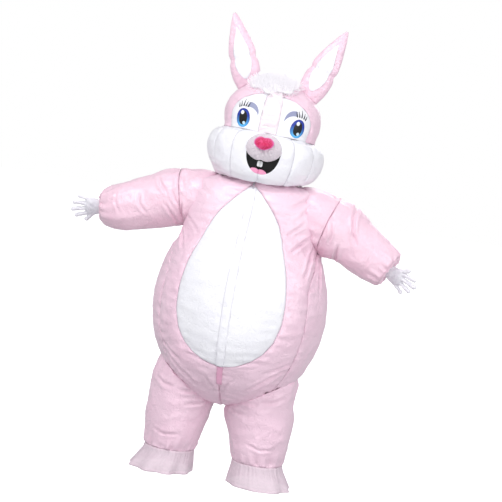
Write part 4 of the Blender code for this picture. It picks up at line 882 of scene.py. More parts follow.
def hole_value(points):
    """How far outside the arms' and legs' openings points of the trunk lie, in metres, negative within."""
    x, y, z = np.moveaxis(points, -1, 0)
    value = np.full(x.shape, 0.2)
    for side, sign in SIDES:
        rows = sorted(ARM[side][:6]) if sign > 0 else sorted((-row[0], *row[1:]) for row in ARM[side][:6])
        reach = np.abs(x)
        far = np.hypot(y, z - np.interp(reach, column(rows, 0), column(rows, 1)))
        far = far - (np.interp(reach, column(rows, 0), column(rows, 3)) - 0.004)
        value = np.where((x * sign > 0.152) & (z > 1.0), np.minimum(value, far), value)
        rows = sorted(LEG[side])
        width = np.interp(z, column(rows, 0), column(rows, 3)) - 0.004
        depth = np.interp(z, column(rows, 0), column(rows, 4)) - 0.004
        far = (np.hypot((x - np.interp(z, column(rows, 0), column(rows, 1))) / width, y / depth) - 1) * 0.14
        value = np.where(z < 0.568, np.minimum(value, far), value)
    return value


def window_value(x, height):
    """The same for the opening in the face behind the film."""
    half_x, half_z = (half - WINDOW_OVERLAP for half in WINDOW_HALF_SIZE)
    u, v = x / half_x, (height - WINDOW_CENTRE[1]) / half_z
    return (np.hypot(u, v) / window_outline(np.arctan2(v, u)) - 1) * half_z


def gore(name, skin, bounds, low, high, cell, folds=(), hole=None, chart=None, crush=1.0, lift=0.0):
    """A puffed piece of a skin between two heights and two seams, given as angles at a height."""
    from_s, to_s = float(skin.along(bounds[0])), float(skin.along(bounds[1]))
    rows = max(3, int((to_s - from_s) / cell) + 1)
    s = np.linspace(from_s, to_s, rows)
    level, width, front, back = skin.section(s)
    start = np.array([float(low(h)) for h in level])
    end = np.array([float(high(h)) for h in level])
    around = (width + (front + back) / 2) / 2
    gap = np.degrees(SEAM_GAP / 2 / np.maximum(width, 0.004))
    start, end = start + gap, np.maximum(end - gap, start + 2 * gap)
    columns = max(3, int(np.radians(end - start).dot(around) / len(s) * 1.25 / cell) + 1)
    share = np.linspace(0, 1, columns)[None, :]
    angle = start[:, None] + (end - start)[:, None] * share
    along = np.broadcast_to(s[:, None], angle.shape)
    degree = np.radians(1) * around[:, None]
    d_low, d_high = (angle - start[:, None]) * degree, (end[:, None] - angle) * degree
    d_foot, d_top = along - from_s, to_s - along
    seeds = [int(abs(np.mean(edge)) * 2) + (np.mean(edge) < 0) for edge in (start, end)]
    flat = skin.plain(angle, along)
    relief = seam_pull(along, d_low, seeds[0], crush) + seam_pull(along, d_high, seeds[1], crush)
    relief += seam_pull(angle * degree, d_top, 91, crush) + seam_pull(angle * degree, d_foot, 93, crush)
    edge = np.clip(np.minimum(d_low, d_high) / 0.02, 0, 1)
    relief += crumple(flat, 5, crush) * edge * np.clip(d_top / 0.03, 0, 1) * np.clip(d_foot / 0.03, 0, 1)
    if folds:
        relief += pressed(folds, angle, np.broadcast_to(level[:, None], angle.shape), 0.0058) * np.clip(edge + 0.3, 0, 1)
    points = skin.at(angle, along, relief + lift)
    uv = np.stack([(angle - angle.mean()) * degree, along], -1) if chart is None else chart(angle, along, flat)
    shade = seam_shade(d_low, d_high, d_top, d_foot)
    faces = grid_faces(*angle.shape)
    if hole is not None:
        points, faces = open_grid(points, hole(points, flat))
    points, faces, uv, shade = used_only(points, faces, uv, shade)
    obj = make_object(name, points, faces, uv, shade)
    cut_size(obj, to_s - from_s, np.max((end - start) * degree[:, 0]))
    return obj


def window_outline(turn):
    lobes = 0.045 * np.cos(2 * (turn + math.pi / 2)) * (np.sin(turn) < 0)
    notch = 0.09 * np.exp(-(((turn % (2 * math.pi)) - 1.5 * math.pi) / 0.22) ** 2)
    return 1.0 - lobes - notch


def front_depth(x, height):
    low, high = CREASE_HEIGHT - 0.043, CREASE_HEIGHT + 0.037
    share = np.clip((height - low) / (high - low), 0, 1)

    def reach(z):
        level = z
        for _ in range(6):
            _, width, front, _ = HEAD_SKIN.section(HEAD_SKIN.along(level))
            cosine = np.sqrt(np.clip(1 - (x / width) ** 2, 0, 1))
            level = z + chin_drop(level, cosine)
        return front * cosine

    bridged = (1 - share) * reach(np.full_like(height, low)) + share * reach(np.full_like(height, high))
    return np.where((height > low) & (height < high), bridged, reach(height))


def film_surface(x, height):
    """The film's outer face, before the head is tilted."""
    u = (x - WINDOW_CENTRE[0]) / WINDOW_HALF_SIZE[0]
    v = (height - WINDOW_CENTRE[1]) / WINDOW_HALF_SIZE[1]
    reach = np.clip(1 - (u**2 + v**2), 0, 1)
    lobe = 0.004 * (1 - np.exp(-((u / 0.16) ** 2))) * (v < 0) * reach
    bulge = HEAD_PUFF + 0.0035 + 0.030 * reach**0.7 + lobe
    return np.stack([x, -(front_depth(x, height) + bulge), height], -1)


def disc(centre, half_size, outline, rings, columns):
    """x and height of rings from an outline in to near its middle."""
    turn = np.linspace(0, 2 * math.pi, columns, endpoint=False)
    share = np.linspace(1, 0.01, rings)[:, None]
    reach = share * outline(turn)
    x = centre[0] + half_size[0] * reach * np.cos(turn)
    return x, centre[1] + half_size[1] * reach * np.sin(turn), share + 0 * turn


def heart(turn):
    notch = 0.24 * np.exp(-((turn - math.pi / 2) / 0.32) ** 2)
    point = 0.12 * np.exp(-((turn - 1.5 * math.pi) / 0.55) ** 2)
    return 0.98 + 0.10 * np.sin(turn) - notch + point


def leaves_skin(points, skin, margin):
    """For each column of rows of points, the share of the way along it where it leaves a skin."""
    height = points[..., 2]
    level = np.clip(height, skin.rows[0, 0], skin.rows[-1, 0])
    _, width, front, back = skin.section(skin.along(level))
    depth = np.where(points[..., 1] < 0, front, back)
    out = np.hypot(points[..., 0] / width, points[..., 1] / depth) - 1 - margin / np.maximum(width, 0.05)
    out = np.where((height < skin.rows[0, 0]) | (height > skin.rows[-1, 0]), 0.5, out)
    inside = out < 0
    count = len(out)
    last = np.where(inside.any(0), count - 1 - np.argmax(inside[::-1], 0), -1)
    shares = np.zeros(out.shape[1])
    for j, i in enumerate(last):
        if i >= 0:
            nearer = out[i, j] / min(out[i, j] - out[min(i + 1, count - 1), j], -1e-9)
            shares[j] = (i + nearer) / (count - 1)
    return np.clip(shares, 0, 1)


def arm_surface(side, s, turn):
    """Points of an arm's plain tube and the way out of it there; s is metres along its path."""
    rows = np.array(ARM[side])
    run = np.concatenate([[0], np.cumsum(np.linalg.norm(np.diff(rows, axis=0), axis=1))])
    path = curve_at(rows, run, s)
    ahead, behind = curve_at(rows, run, s + 4e-3), curve_at(rows, run, s - 4e-3)
    along = (ahead - behind)[..., [0, 2, 1]]
    along /= np.linalg.norm(along, axis=-1, keepdims=True)
    across = np.cross([0.0, 0.0, 1.0], along)
    across /= np.linalg.norm(across, axis=-1, keepdims=True)
    other = np.cross(along, across)
    out = np.cos(turn)[..., None] * across + np.sin(turn)[..., None] * other
    return path[..., [0, 2, 1]] + path[..., 3:4] * out, out, run


def leg_surface(rows, s, turn):
    rows = np.array(rows)
    run = np.concatenate([[0], np.cumsum(np.linalg.norm(np.diff(rows, axis=0), axis=1))])
    path = curve_at(rows, run, s)
    out = np.stack([np.cos(turn), np.sin(turn), 0 * turn], -1)
    half = np.stack([path[..., 3], path[..., 4], 0 * path[..., 3]], -1)
    return path[..., [1, 2, 0]] + half * out, out, run


def tube(name, surface, start, end, cell, girth, folds, seed, flip, gathers=(1.0, 1.0)):
    """A limb's cloth from where each column starts to its end, with gathers at both seams."""
    columns = int(girth / cell)
    turn = np.linspace(0, 2 * math.pi, columns, endpoint=False)
    rows = int((end - start.min()) / cell) + 1
    begin = np.interp(turn, np.linspace(0, 2 * math.pi, len(start)), start)
    s = begin + (end - begin) * np.linspace(0, 1, rows)[:, None]
    turns = np.broadcast_to(turn, s.shape)
    plain, out, run = surface(s, turns)
    arc = turns * girth / (2 * math.pi)
    from_start, from_end = s - begin, end - s
    ring = np.stack([np.cos(turns), np.sin(turns)], -1) * girth / (2 * math.pi)
    relief = np.zeros(s.shape)
    for distance, amount, each in ((from_start, gathers[0], seed), (from_end, gathers[1], seed + 3)):
        near = ripple(np.concatenate([ring, distance[..., None] * 0.3], -1), 0.019, each, 8)
        far = ripple(np.concatenate([ring, distance[..., None] * 0.3], -1), 0.042, each + 1, 8)
        rise = 1 - np.exp(-distance / 0.005)
        gathered = near * np.exp(-distance / 0.014) * 0.0013 + far * np.exp(-distance / 0.050) * 0.0027
        relief += GATHER_STRENGTH * amount * rise * gathered
        relief += -0.0014 * np.exp(-((distance / 0.006) ** 2))
    ends = np.clip(from_start / 0.02, 0, 1) * np.clip(from_end / 0.02, 0, 1)
    relief += crumple(plain, 5, 1.15) * ends
    in_metres = [([(a, b * run[-1]) for a, b in path], width, depth) for path, width, depth in folds]
    relief += pressed(in_metres, np.degrees(turns), s, girth / 360, closed=True) * ends
    points = plain + out * relief[..., None]
    faces = grid_faces(*s.shape, closed=True)
    obj = make_object(name, points, (faces[:, ::-1] if flip else faces).tolist(), np.stack([arc, s], -1),
                      seam_shade(from_start, from_end))
    cut_size(obj, np.max(end - begin), girth)
    return obj


def build_trunk():
    cell = sizes().body_cell
    belly = lambda h: edge_angle(BELLY, h)
    back = lambda h: 180 - side_seam(h)
    hole = lambda points, flat: hole_value(points)
    spans = [
        ("front", (0.3415, 1.3595), belly, side_seam, hole, "pink_nylon"),
        ("side", (0.42, 1.100), side_seam, back, hole, "pink_nylon"),
        ("back", (0.3415, 1.3595), back, lambda h: 180.0, hole, "pink_nylon"),
        ("belly", (BELLY_BOTTOM + 0.0012, 1.3358), lambda h: 0.2, lambda h: min(belly(h - 0.001), belly(h + 0.001)), None,
         "white_nylon"),
    ]
    for side, sign in SIDES:
        for part, bounds, inner, outer, opening, cloth in spans:
            low, high = (inner, outer) if sign > 0 else (lambda h, o=outer: -o(h), lambda h, i=inner: -i(h))
            folds = BODY_FOLDS if part != "belly" else ()
            crush = 0.6 if part == "belly" else 1.0
            piece = gore(f"{part}_cloth_{side}", TRUNK, bounds, low, high, cell, folds, opening, None, crush)
            dress(piece, f"{part}_{side}", cloth_finish(cloth), sizes().wall)
    for name, bounds, half, cloth in (
        ("zip_placket", (BELLY_BOTTOM + 0.002, 1.322), 0.018, "white_nylon"),
        ("zip_placket_end", (0.464, BELLY_BOTTOM), 0.014, "hot_pink_nylon"),
    ):
        edge = math.degrees(half / 0.35)
        piece = gore(f"{name}_cloth", TRUNK, bounds, lambda h: -edge, lambda h: edge, 0.0035, (), None, None, 0.30, 0.0035)
        dress(piece, name, cloth_finish(cloth), 0.0015)


def build_arms():
    pink = cloth_finish("light_pink_nylon")
    for side, sign in SIDES:
        _, _, run = arm_surface(side, np.zeros((1, 1)), np.zeros((1, 1)))
        probe_s = np.linspace(0, run[-1], 240)[:, None]
        turn = np.linspace(0, 2 * math.pi, 181)
        probe, _, _ = arm_surface(side, probe_s + 0 * turn, turn + 0 * probe_s)
        leaves = leaves_skin(probe, TRUNK, 0.0045) * run[-1]
        surface = lambda s, t: arm_surface(side, s, t)
        seam = run[ARM_SEAM]
        cap_start = np.minimum(leaves, seam - 0.006)
        seed = 40 if sign > 0 else 60
        cell = sizes().arm_cell
        cap = tube(f"shoulder_cloth_{side}", surface, cap_start, seam, cell, 0.82, ARM_FOLDS[side], seed, False)
        dress(cap, f"shoulder_{side}", pink, sizes().wall)
        sleeve_start = np.maximum(leaves, seam + 0.001)
        sleeve = tube(f"sleeve_cloth_{side}", surface, sleeve_start, run[-1], cell, 0.76, ARM_FOLDS[side], seed + 7, False,
                      (1.0, 1.6))
        dress(sleeve, f"sleeve_{side}", pink, sizes().wall)
        dress(cuff(side), f"cuff_{side}", pink, 0.0012)


def cuff(side):
    """The gathered elastic end that draws a sleeve in to the wrist."""
    end, before = np.array(ARM[side][-1]), np.array(ARM[side][-2])
    along = Vector((end - before)[[0, 2, 1]]).normalized()
    across = Vector((0, 0, 1)).cross(along).normalized()
    other = along.cross(across)
    outer = end[3] - 0.002 - 0.0012
    turn = np.linspace(0, 2 * math.pi, 168, endpoint=False)
    share = np.linspace(0, 1, 26)[:, None]
    depth = np.interp(share, [p[0] for p in CUFF_PROFILE], [p[1] for p in CUFF_PROFILE])
    depth = depth + 0.0018 * np.cos(CUFF_WAVES * turn) * np.sin(math.pi * np.minimum(1, share + 0.05))
    fan = np.stack([np.cos(turn) + 0 * share, np.sin(turn) + 0 * share], -1) * 0.05
    depth = depth + 0.0016 * ripple(fan, 0.011, 70) * np.sin(math.pi * np.minimum(1, share + 0.02)) ** 0.7
    radius = outer + (CUFF_INNER_RADIUS - outer) * share
    points = np.array(end[[0, 2, 1]]) + depth[..., None] * np.array(along)
    outwards = np.cos(turn)[:, None] * np.array(across) + np.sin(turn)[:, None] * np.array(other)
    points = points + radius[..., None] * outwards
    uv = np.stack([turn * 0.06 + 0 * share, share * 0.06 + 0 * turn], -1)
    obj = make_object(f"cuff_cloth_{side}", points, grid_faces(26, 168, True).tolist(), uv,
                      seam_shade(share * 0.05 + 0 * turn, (1 - share) * 0.03 + 0 * turn))
    cut_size(obj, outer - CUFF_INNER_RADIUS + 0.02, 2 * math.pi * outer * 0.75)
    return obj


def build_legs():
    pink, sheer = cloth_finish("pink_nylon"), cloth_finish("sheer_pink")
    for side, sign in SIDES:
        rows = LEG[side]
        _, _, run = leg_surface(rows, np.zeros((1, 1)), np.zeros((1, 1)))
        probe_s = np.linspace(0, run[-1], 240)[:, None]
        turn = np.linspace(0, 2 * math.pi, 181)
        probe, _, _ = leg_surface(rows, probe_s + 0 * turn, turn + 0 * probe_s)
        leaves = np.minimum(leaves_skin(probe, TRUNK, 0.0045) * run[-1], run[-1] - 0.05)
        surface = lambda s, t: leg_surface(rows, s, t)
        leg = tube(f"leg_cloth_{side}", surface, leaves, run[-1], sizes().leg_cell, 0.95, LEG_FOLDS[side],
                   80 if sign > 0 else 100, True, (1.0, 1.8))
        dress(leg, f"leg_{side}", pink, sizes().wall)
        dress(ruffle(side), f"flounce_{side}", sheer, 0.0012)


def ruffle(side):
    """A sheer flared ruffle, gathered on the ankle's elastic and turned up at its hem."""
    rows = FLOUNCE[side]
    _, _, run = leg_surface(rows, np.zeros((1, 1)), np.zeros((1, 1)))
    turn = np.linspace(0, 2 * math.pi, 200, endpoint=False)
    s = np.linspace(0, run[-1], 28)[:, None] + 0 * turn
    turns = turn + 0 * s
    plain, out, _ = leg_surface(rows, s, turns)
    share = s / run[-1]
    path = curve_at(np.array(rows), run, s)
    wave = 0.006 * share**1.5 * np.cos(HEM_WAVES * turns + path[..., 1] * 9)
    ring = np.stack([np.cos(turns), np.sin(turns)], -1) * 0.13
    seed = 120 if side == "left" else 124
    gathers = ripple(ring, 0.016, seed) * 0.0019 * np.exp(-share * 2.2) * np.clip(share * 14, 0, 1)
    folds = ripple(ring, 0.07, seed + 10) * 0.0032 * share
    points = plain + out * (wave + gathers + folds)[..., None]
    points[..., 2] += 0.0022 * ripple(ring, 0.10, 140) * share**2 * (share < 0.99)
    points[..., 2] = np.maximum(points[..., 2], 0.0004)
    # Darkest at the ankle's elastic, partly the gathered seam and partly a painted shadow under the leg's end; the
    # hem's stitch row and turned-up double layer are darker too.
    elastic = np.exp(-((share / 0.05) ** 2))
    hem_row = 0.9 * np.exp(-(((share - 0.90) / 0.012) ** 2))
    seam = 1 - np.clip(elastic + hem_row + (share > 0.905) * 0.45, 0, 1)
    uv = np.stack([turns * 0.13, s], -1)
    obj = make_object(f"ruffle_{side}", points, grid_faces(28, 200, True)[:, ::-1].tolist(), uv, seam)
    cut_size(obj, run[-1], 0.95)
    return obj


def cloth_finish(name):
    """The nylons and sheer cloth, in the colours of the panel."""
    colours = bpy.context.scene.costume_colours
    pink, white = tuple(colours.pink), tuple(colours.white)
    makers = {
        # The second colour of each nylon and of the sheer is its painted shade.
        "pink_nylon": (nylon, name, pink, tuple(colours.pink_shade)),
        "light_pink_nylon": (nylon, name, tuple(colours.light_pink), tuple(colours.light_pink_shade)),
        "pale_pink_nylon": (nylon, name, (0.93, 0.84, 0.88), (0.90, 0.74, 0.81)),
        "hot_pink_nylon": (nylon, name, (0.86, 0.45, 0.62), (0.80, 0.36, 0.55)),
        "white_nylon": (nylon, name, white, tuple(colours.white_shade), None, 0.75, 0.36),
        "mouth_nylon": (nylon, name, white, tuple(colours.white_shade), mouth_print, 0.75, 0.36),
        "eye_nylon_left": (nylon, name, white, tuple(colours.white_shade), eye_print(1), 0.75, 0.36),
        "eye_nylon_right": (nylon, name, white, tuple(colours.white_shade), eye_print(-1), 0.75, 0.36),
        "sheer_pink": (ruffle_cloth, name, (0.84, 0.70, 0.77), (0.70, 0.55, 0.62)),
    }
    make, *values = makers[name]
    return finish_of(name, make, *values)


# The head, its face, fur and ears


def eye_chart(middle):
    """Places the cloth's map round an eye, in metres over the surface."""
    level = HEAD_SKIN.along(1.600)

    def chart(angle, along, flat):
        return np.stack([np.radians(angle - middle) * 0.205, along - level], -1)

    return chart


def face_chart(angle, along, flat):
    return flat[..., [0, 2]]


def build_head():
    cell = sizes().head_cell
    chin, cheek, ear_line = CHEEK_SEAMS
    patch = lambda h: max(float(edge_angle(EYE_PATCH, h)), BROW_HALF_ANGLE)
    panel = lambda h: min(patch(h), max(float(edge_angle(EYE_PATCH, h + 0.001)), BROW_HALF_ANGLE))
    fixed = lambda angle: lambda h: angle
    opening = lambda points, flat: window_value(flat[..., 0], flat[..., 2])
    lower, upper = (1.3607, 1.5526), (1.5534, 1.7885)
    spans = [
        ("cheek_front", lower, fixed(0.0), fixed(chin), opening, "mouth_nylon"),
        ("cheek_mid", lower, fixed(chin), fixed(cheek), None, "white_nylon"),
        ("cheek_side", lower, fixed(cheek), fixed(ear_line), None, "white_nylon"),
        ("eye_patch", (1.5534, 1.7248), fixed(BROW_HALF_ANGLE), panel, opening, "eye_nylon"),
        ("head_side", upper, patch, fixed(ear_line), None, "pink_nylon"),
        ("head_back", (1.3607, 1.7885), fixed(ear_line), fixed(180.0), None, "pink_nylon"),
    ]
    for side, sign in SIDES:
        for part, bounds, inner, outer, hole, cloth in spans:
            low, high = (inner, outer) if sign > 0 else (lambda h, o=outer: -o(h), lambda h, i=inner: -i(h))
            chart = {"cheek_front": face_chart, "eye_patch": eye_chart(35.4 if sign > 0 else -33.6)}.get(part)
            crush = 0.45 if part in ("cheek_front", "eye_patch") else 0.65
            piece = gore(f"{part}_cloth_{side}", HEAD_SKIN, bounds, low, high, cell, (), hole, chart, crush)
            cloth = f"{cloth}_{side}" if part == "eye_patch" else cloth
            dress(piece, f"{part}_{side}", cloth_finish(cloth), 0.0016)
    brow = gore("brow_cloth", HEAD_SKIN, upper, fixed(-BROW_HALF_ANGLE), fixed(BROW_HALF_ANGLE), 0.004, BROW_FOLDS, opening,
                None, 1.0)
    dress(brow, "brow_strip", cloth_finish("pale_pink_nylon"), 0.0016)


BROW_FOLDS = [
    (((-9, 1.604), (0, 1.608), (8, 1.603)), 0.005, 0.0022), (((-8, 1.632), (-1, 1.629), (7, 1.634)), 0.005, 0.0020),
    (((-5, 1.655), (3, 1.659), (9, 1.654)), 0.005, 0.0018), (((-9, 1.582), (-3, 1.585), (4, 1.581)), 0.005, 0.0020),
]


def build_muzzle():
    """The clear film with its crinkles and middle seam, and the plush nose."""
    rings, columns = 52, 150
    x, height, share = disc(WINDOW_CENTRE, WINDOW_HALF_SIZE, window_outline, rings, columns)
    points = film_surface(x, height)
    flat = np.stack([x, height], -1)
    crinkle = 0.0011 * ripple(flat, 0.013, 200) + 0.0020 * (1 - np.abs(ripple(flat, 0.036, 201))) - 0.0012
    middle = -0.0022 * np.exp(-((x + 0.001) / 0.0035) ** 2) * (height < 1.478)
    rim = np.clip((1 - share) / 0.08, 0, 1)
    points[..., 1] -= (crinkle * rim + middle * rim)
    faces = grid_faces(rings, columns, True).tolist() + [list(range((rings - 1) * columns, rings * columns))]
    film = make_object("muzzle_film", moved(points, HEAD_SKIN.place), faces, flat, seam_shade((1 - share) * 0.06))
    cut_size(film, 0.150, 0.190)
    dress(film, "muzzle_window", finish_of("clear_film", film_finish), 0.0008)

    def layer(rings, lift, dome):
        x, height, share = disc(NOSE_CENTRE, NOSE_HALF_SIZE, heart, rings, 132)
        points = film_surface(x, height)
        u, v = (x - NOSE_CENTRE[0]) / NOSE_HALF_SIZE[0], (height - NOSE_CENTRE[1]) / NOSE_HALF_SIZE[1]
        rise = lift + dome * np.clip(1 - 0.85 * (u**2 + v**2), 0, 1) ** 0.5
        flat = np.stack([x, height, 0 * x], -1)
        dimple = dome / 0.024 * (0.0016 * ripple(flat, 0.020, 210) + 0.0007 * ripple(flat, 0.007, 211))
        points[..., 1] -= rise + dimple * np.clip((1 - share) / 0.12, 0, 1)
        return points, share

    behind, _ = layer(8, 0.0029, 0.0)
    before, share = layer(40, 0.0069, 0.024)
    points = np.concatenate([behind[::-1], before])
    fade = np.concatenate([np.zeros((8, 132)), np.clip((1 - share) / 0.16, 0, 1)])
    count = 48
    faces = grid_faces(count, 132, True).tolist()
    faces += [list(range(131, -1, -1)), list(range((count - 1) * 132, count * 132))]
    nose = make_object("plush_nose", moved(points, HEAD_SKIN.place), faces, None, fade)
    dress(nose, "nose", finish_of("crimson_plush", plush_finish), sheet=False)


def crown_points(x, y, lift):
    """Points over the crown at x and y, each pushed out from the head's middle."""
    s = np.linspace(HEAD_SKIN.along(1.59), HEAD_SKIN.run[-1], 500)
    out = []
    for each_x, each_y, each_lift in zip(x.ravel(), y.ravel(), np.broadcast_to(lift, x.shape).ravel()):
        angle = math.degrees(math.atan2(each_x, -each_y))
        ring = HEAD_SKIN.plain(np.full_like(s, angle), s)
        far = np.hypot(ring[:, 0], ring[:, 1])
        reach = math.hypot(each_x, each_y)
        k = float(np.interp(-reach, -far, np.arange(len(s))))
        i = min(int(k), len(s) - 2)
        here = ring[i] + (ring[i + 1] - ring[i]) * (k - i)
        slope = ring[min(i + 8, len(s) - 1)] - ring[max(i - 8, 0)]
        outward = np.array([math.sin(math.radians(angle)), -math.cos(math.radians(angle)), 0.0])
        normal = np.cross(np.array([-outward[1], outward[0], 0.0]), slope)
        out.append(here + normal / np.linalg.norm(normal) * each_lift)
    return np.array(out).reshape(*x.shape, 3)


def build_tuft():
    """The mound of the fur tuft, and its hairs."""
    turn = np.linspace(0, 2 * math.pi, 84, endpoint=False)
    under, over = [], []
    for share in np.linspace(0.02, 1.0, 20):
        locks = 1 + 0.10 * np.cos(7 * turn + 0.6) * share**6
        between = 1 - 0.30 * np.clip(-np.sin(turn), 0, 1) ** 0.6
        x = TUFT_CENTRE[0] + TUFT_HALF_WIDTH * share * locks * np.cos(turn) * between
        reach = np.where(np.sin(turn) > 0, TUFT_REACH[0], TUFT_REACH[1])
        y = TUFT_CENTRE[1] - reach * share * locks * np.sin(turn)
        rise = 0.0072 + 0.003 + 0.014 * (1 - share**2) ** 0.7
        rough = 0.0022 * ripple(np.stack([x, y], -1), 0.030, 230)
        under.append(crown_points(x, y, 0.0074))
        over.append(crown_points(x, y, rise + rough * (share < 0.98)))
    points = np.concatenate([under, over[::-1]])
    faces = grid_faces(40, 84, True).tolist() + [list(range(83, -1, -1)), list(range(39 * 84, 40 * 84))]
    mound = make_object("tuft_mound", moved(points, HEAD_SKIN.place), faces, None, None)
    shape = bmesh.new()
    shape.from_mesh(mound.data)
    bmesh.ops.recalc_face_normals(shape, faces=shape.faces)
    shape.to_mesh(mound.data)
    shape.free()
    # The darker white is the fur's painted shade.
    white = finish_of("white_fur", fur_finish, "white_fur", (0.90, 0.88, 0.92), (0.97, 0.96, 0.98))
    growth = {"Density": sizes().hairs_per_area, "Length": sizes().hair_length}
    hairs = grown(mound, "tuft_hairs", hair_tree(), growth, white)
    dress(mound, "hair_tuft", white, sheet=False)
    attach(hairs, "suit")


def new_tree(name, *sockets):
    """An empty node tree with these named inputs, each a name, type and default."""
    tree = bpy.data.node_groups.new(name, "GeometryNodeTree")
    tree.interface.new_socket("Geometry", in_out="INPUT", socket_type="NodeSocketGeometry")
    for label, kind, default in sockets:
        socket = tree.interface.new_socket(label, in_out="INPUT", socket_type=kind)
        socket.default_value = default
    tree.interface.new_socket("Geometry", in_out="OUTPUT", socket_type="NodeSocketGeometry")
    return tree, tree.nodes.new("NodeGroupInput"), tree.nodes.new("NodeGroupOutput")


def join(tree, start, finish):
    tree.links.new(start, finish)


def finished(tree, instances, given, result):
    """Ends a tree in real geometry with its material."""
    real = tree.nodes.new("GeometryNodeRealizeInstances")
    paint = tree.nodes.new("GeometryNodeSetMaterial")
    join(tree, instances, real.inputs["Geometry"])
    join(tree, real.outputs[0], paint.inputs["Geometry"])
    join(tree, given.outputs["Material"], paint.inputs["Material"])
    join(tree, paint.outputs[0], result.inputs[0])


def grown(carrier, name, tree, values, material):
    """What a tree grows on a carrier, as a plain mesh of its own."""
    step = carrier.modifiers.new("grow", "NODES")
    step.node_group = tree
    for item in tree.interface.items_tree:
        if item.in_out == "INPUT" and item.name in values:
            step[item.identifier] = values[item.name]
        if item.in_out == "INPUT" and item.name == "Material":
            step[item.identifier] = material
    graph = bpy.context.evaluated_depsgraph_get()
    mesh = bpy.data.meshes.new_from_object(carrier.evaluated_get(graph))
    carrier.modifiers.remove(step)
    mesh.name = name
    mesh.materials.clear()
    mesh.materials.append(material)
    obj = bpy.data.objects.new(name, mesh)
    bpy.context.scene.collection.objects.link(obj)
    return obj


def hair_tree():
    """Curved tapering hairs, scattered over a surface with a fixed seed, lying forwards and outwards."""
    tree, given, result = new_tree(
        "hair", ("Density", "NodeSocketFloat", 100000.0), ("Length", "NodeSocketFloat", 0.03),
        ("Seed", "NodeSocketInt", 7),
    )
    tree.interface.new_socket("Material", in_out="INPUT", socket_type="NodeSocketMaterial")
    scatter = tree.nodes.new("GeometryNodeDistributePointsOnFaces")
    join(tree, given.outputs["Geometry"], scatter.inputs["Mesh"])
    join(tree, given.outputs["Density"], scatter.inputs["Density"])
    join(tree, given.outputs["Seed"], scatter.inputs["Seed"])
    arc = tree.nodes.new("GeometryNodeCurveQuadraticBezier")
    arc.inputs["Resolution"].default_value = 4
    for socket, where in (("Start", (0, 0, -0.003)), ("Middle", (0, 0, 0.020)), ("End", (0, 0.013, 0.026))):
        arc.inputs[socket].default_value = where
    taper = tree.nodes.new("GeometryNodeSetCurveRadius")
    along = tree.nodes.new("GeometryNodeSplineParameter")
    thin = tree.nodes.new("ShaderNodeMath")
    thin.operation = "SUBTRACT"
    thin.inputs[0].default_value = 1.06
    join(tree, along.outputs["Factor"], thin.inputs[1])
    join(tree, arc.outputs[0], taper.inputs["Curve"])
    join(tree, thin.outputs[0], taper.inputs["Radius"])
    ring = tree.nodes.new("GeometryNodeCurvePrimitiveCircle")
    ring.inputs["Resolution"].default_value = 3
    ring.inputs["Radius"].default_value = 0.00055
    sweep = tree.nodes.new("GeometryNodeCurveToMesh")
    join(tree, taper.outputs[0], sweep.inputs["Curve"])
    join(tree, ring.outputs[0], sweep.inputs["Profile Curve"])
    wander = tree.nodes.new("FunctionNodeRandomValue")
    wander.data_type = "FLOAT_VECTOR"
    wander.inputs[0].default_value = (-0.60, -1.30, -0.75)
    wander.inputs[1].default_value = (0.60, 0.20, 0.35)
    lean = tree.nodes.new("ShaderNodeVectorMath")
    lean.operation = "ADD"
    join(tree, scatter.outputs["Normal"], lean.inputs[0])
    join(tree, wander.outputs[0], lean.inputs[1])
    aim = tree.nodes.new("FunctionNodeAlignEulerToVector")
    aim.axis = "Z"
    join(tree, lean.outputs[0], aim.inputs["Vector"])
    size = tree.nodes.new("FunctionNodeRandomValue")
    size.data_type = "FLOAT"
    size.inputs[2].default_value = 0.55
    size.inputs[3].default_value = 1.15
    scale = tree.nodes.new("ShaderNodeMath")
    scale.operation = "MULTIPLY"
    join(tree, size.outputs[1], scale.inputs[0])
    longer = tree.nodes.new("ShaderNodeMath")
    longer.operation = "DIVIDE"
    join(tree, given.outputs["Length"], longer.inputs[0])
    longer.inputs[1].default_value = 0.029
    join(tree, longer.outputs[0], scale.inputs[1])
    place = tree.nodes.new("GeometryNodeInstanceOnPoints")
    join(tree, scatter.outputs["Points"], place.inputs["Points"])
    join(tree, sweep.outputs[0], place.inputs["Instance"])
    join(tree, aim.outputs[0], place.inputs["Rotation"])
    join(tree, scale.outputs[0], place.inputs["Scale"])
    finished(tree, place.outputs[0], given, result)
    return tree


def ear_rows(count):
    rows = np.array(EAR, float)
    run = np.concatenate([[0], np.cumsum(np.linalg.norm(np.diff(rows, axis=0), axis=1))])
    return curve_at(rows, run, np.linspace(0, run[-1], count))


def ear_point(side, distance, across, y):
    sign = -1 if side == "left" else 1
    lean = math.radians(EAR_LEAN) * sign
    base_x, base_height = EAR_BASE[side]
    bend = EAR_BEND[side] * (distance / EAR[-1][0]) ** 2 * sign
    x = base_x + distance * math.sin(lean) + (across + bend) * math.cos(lean)
    height = base_height + distance * math.cos(lean) - (across + bend) * math.sin(lean)
    return np.stack([x, y, height], -1)


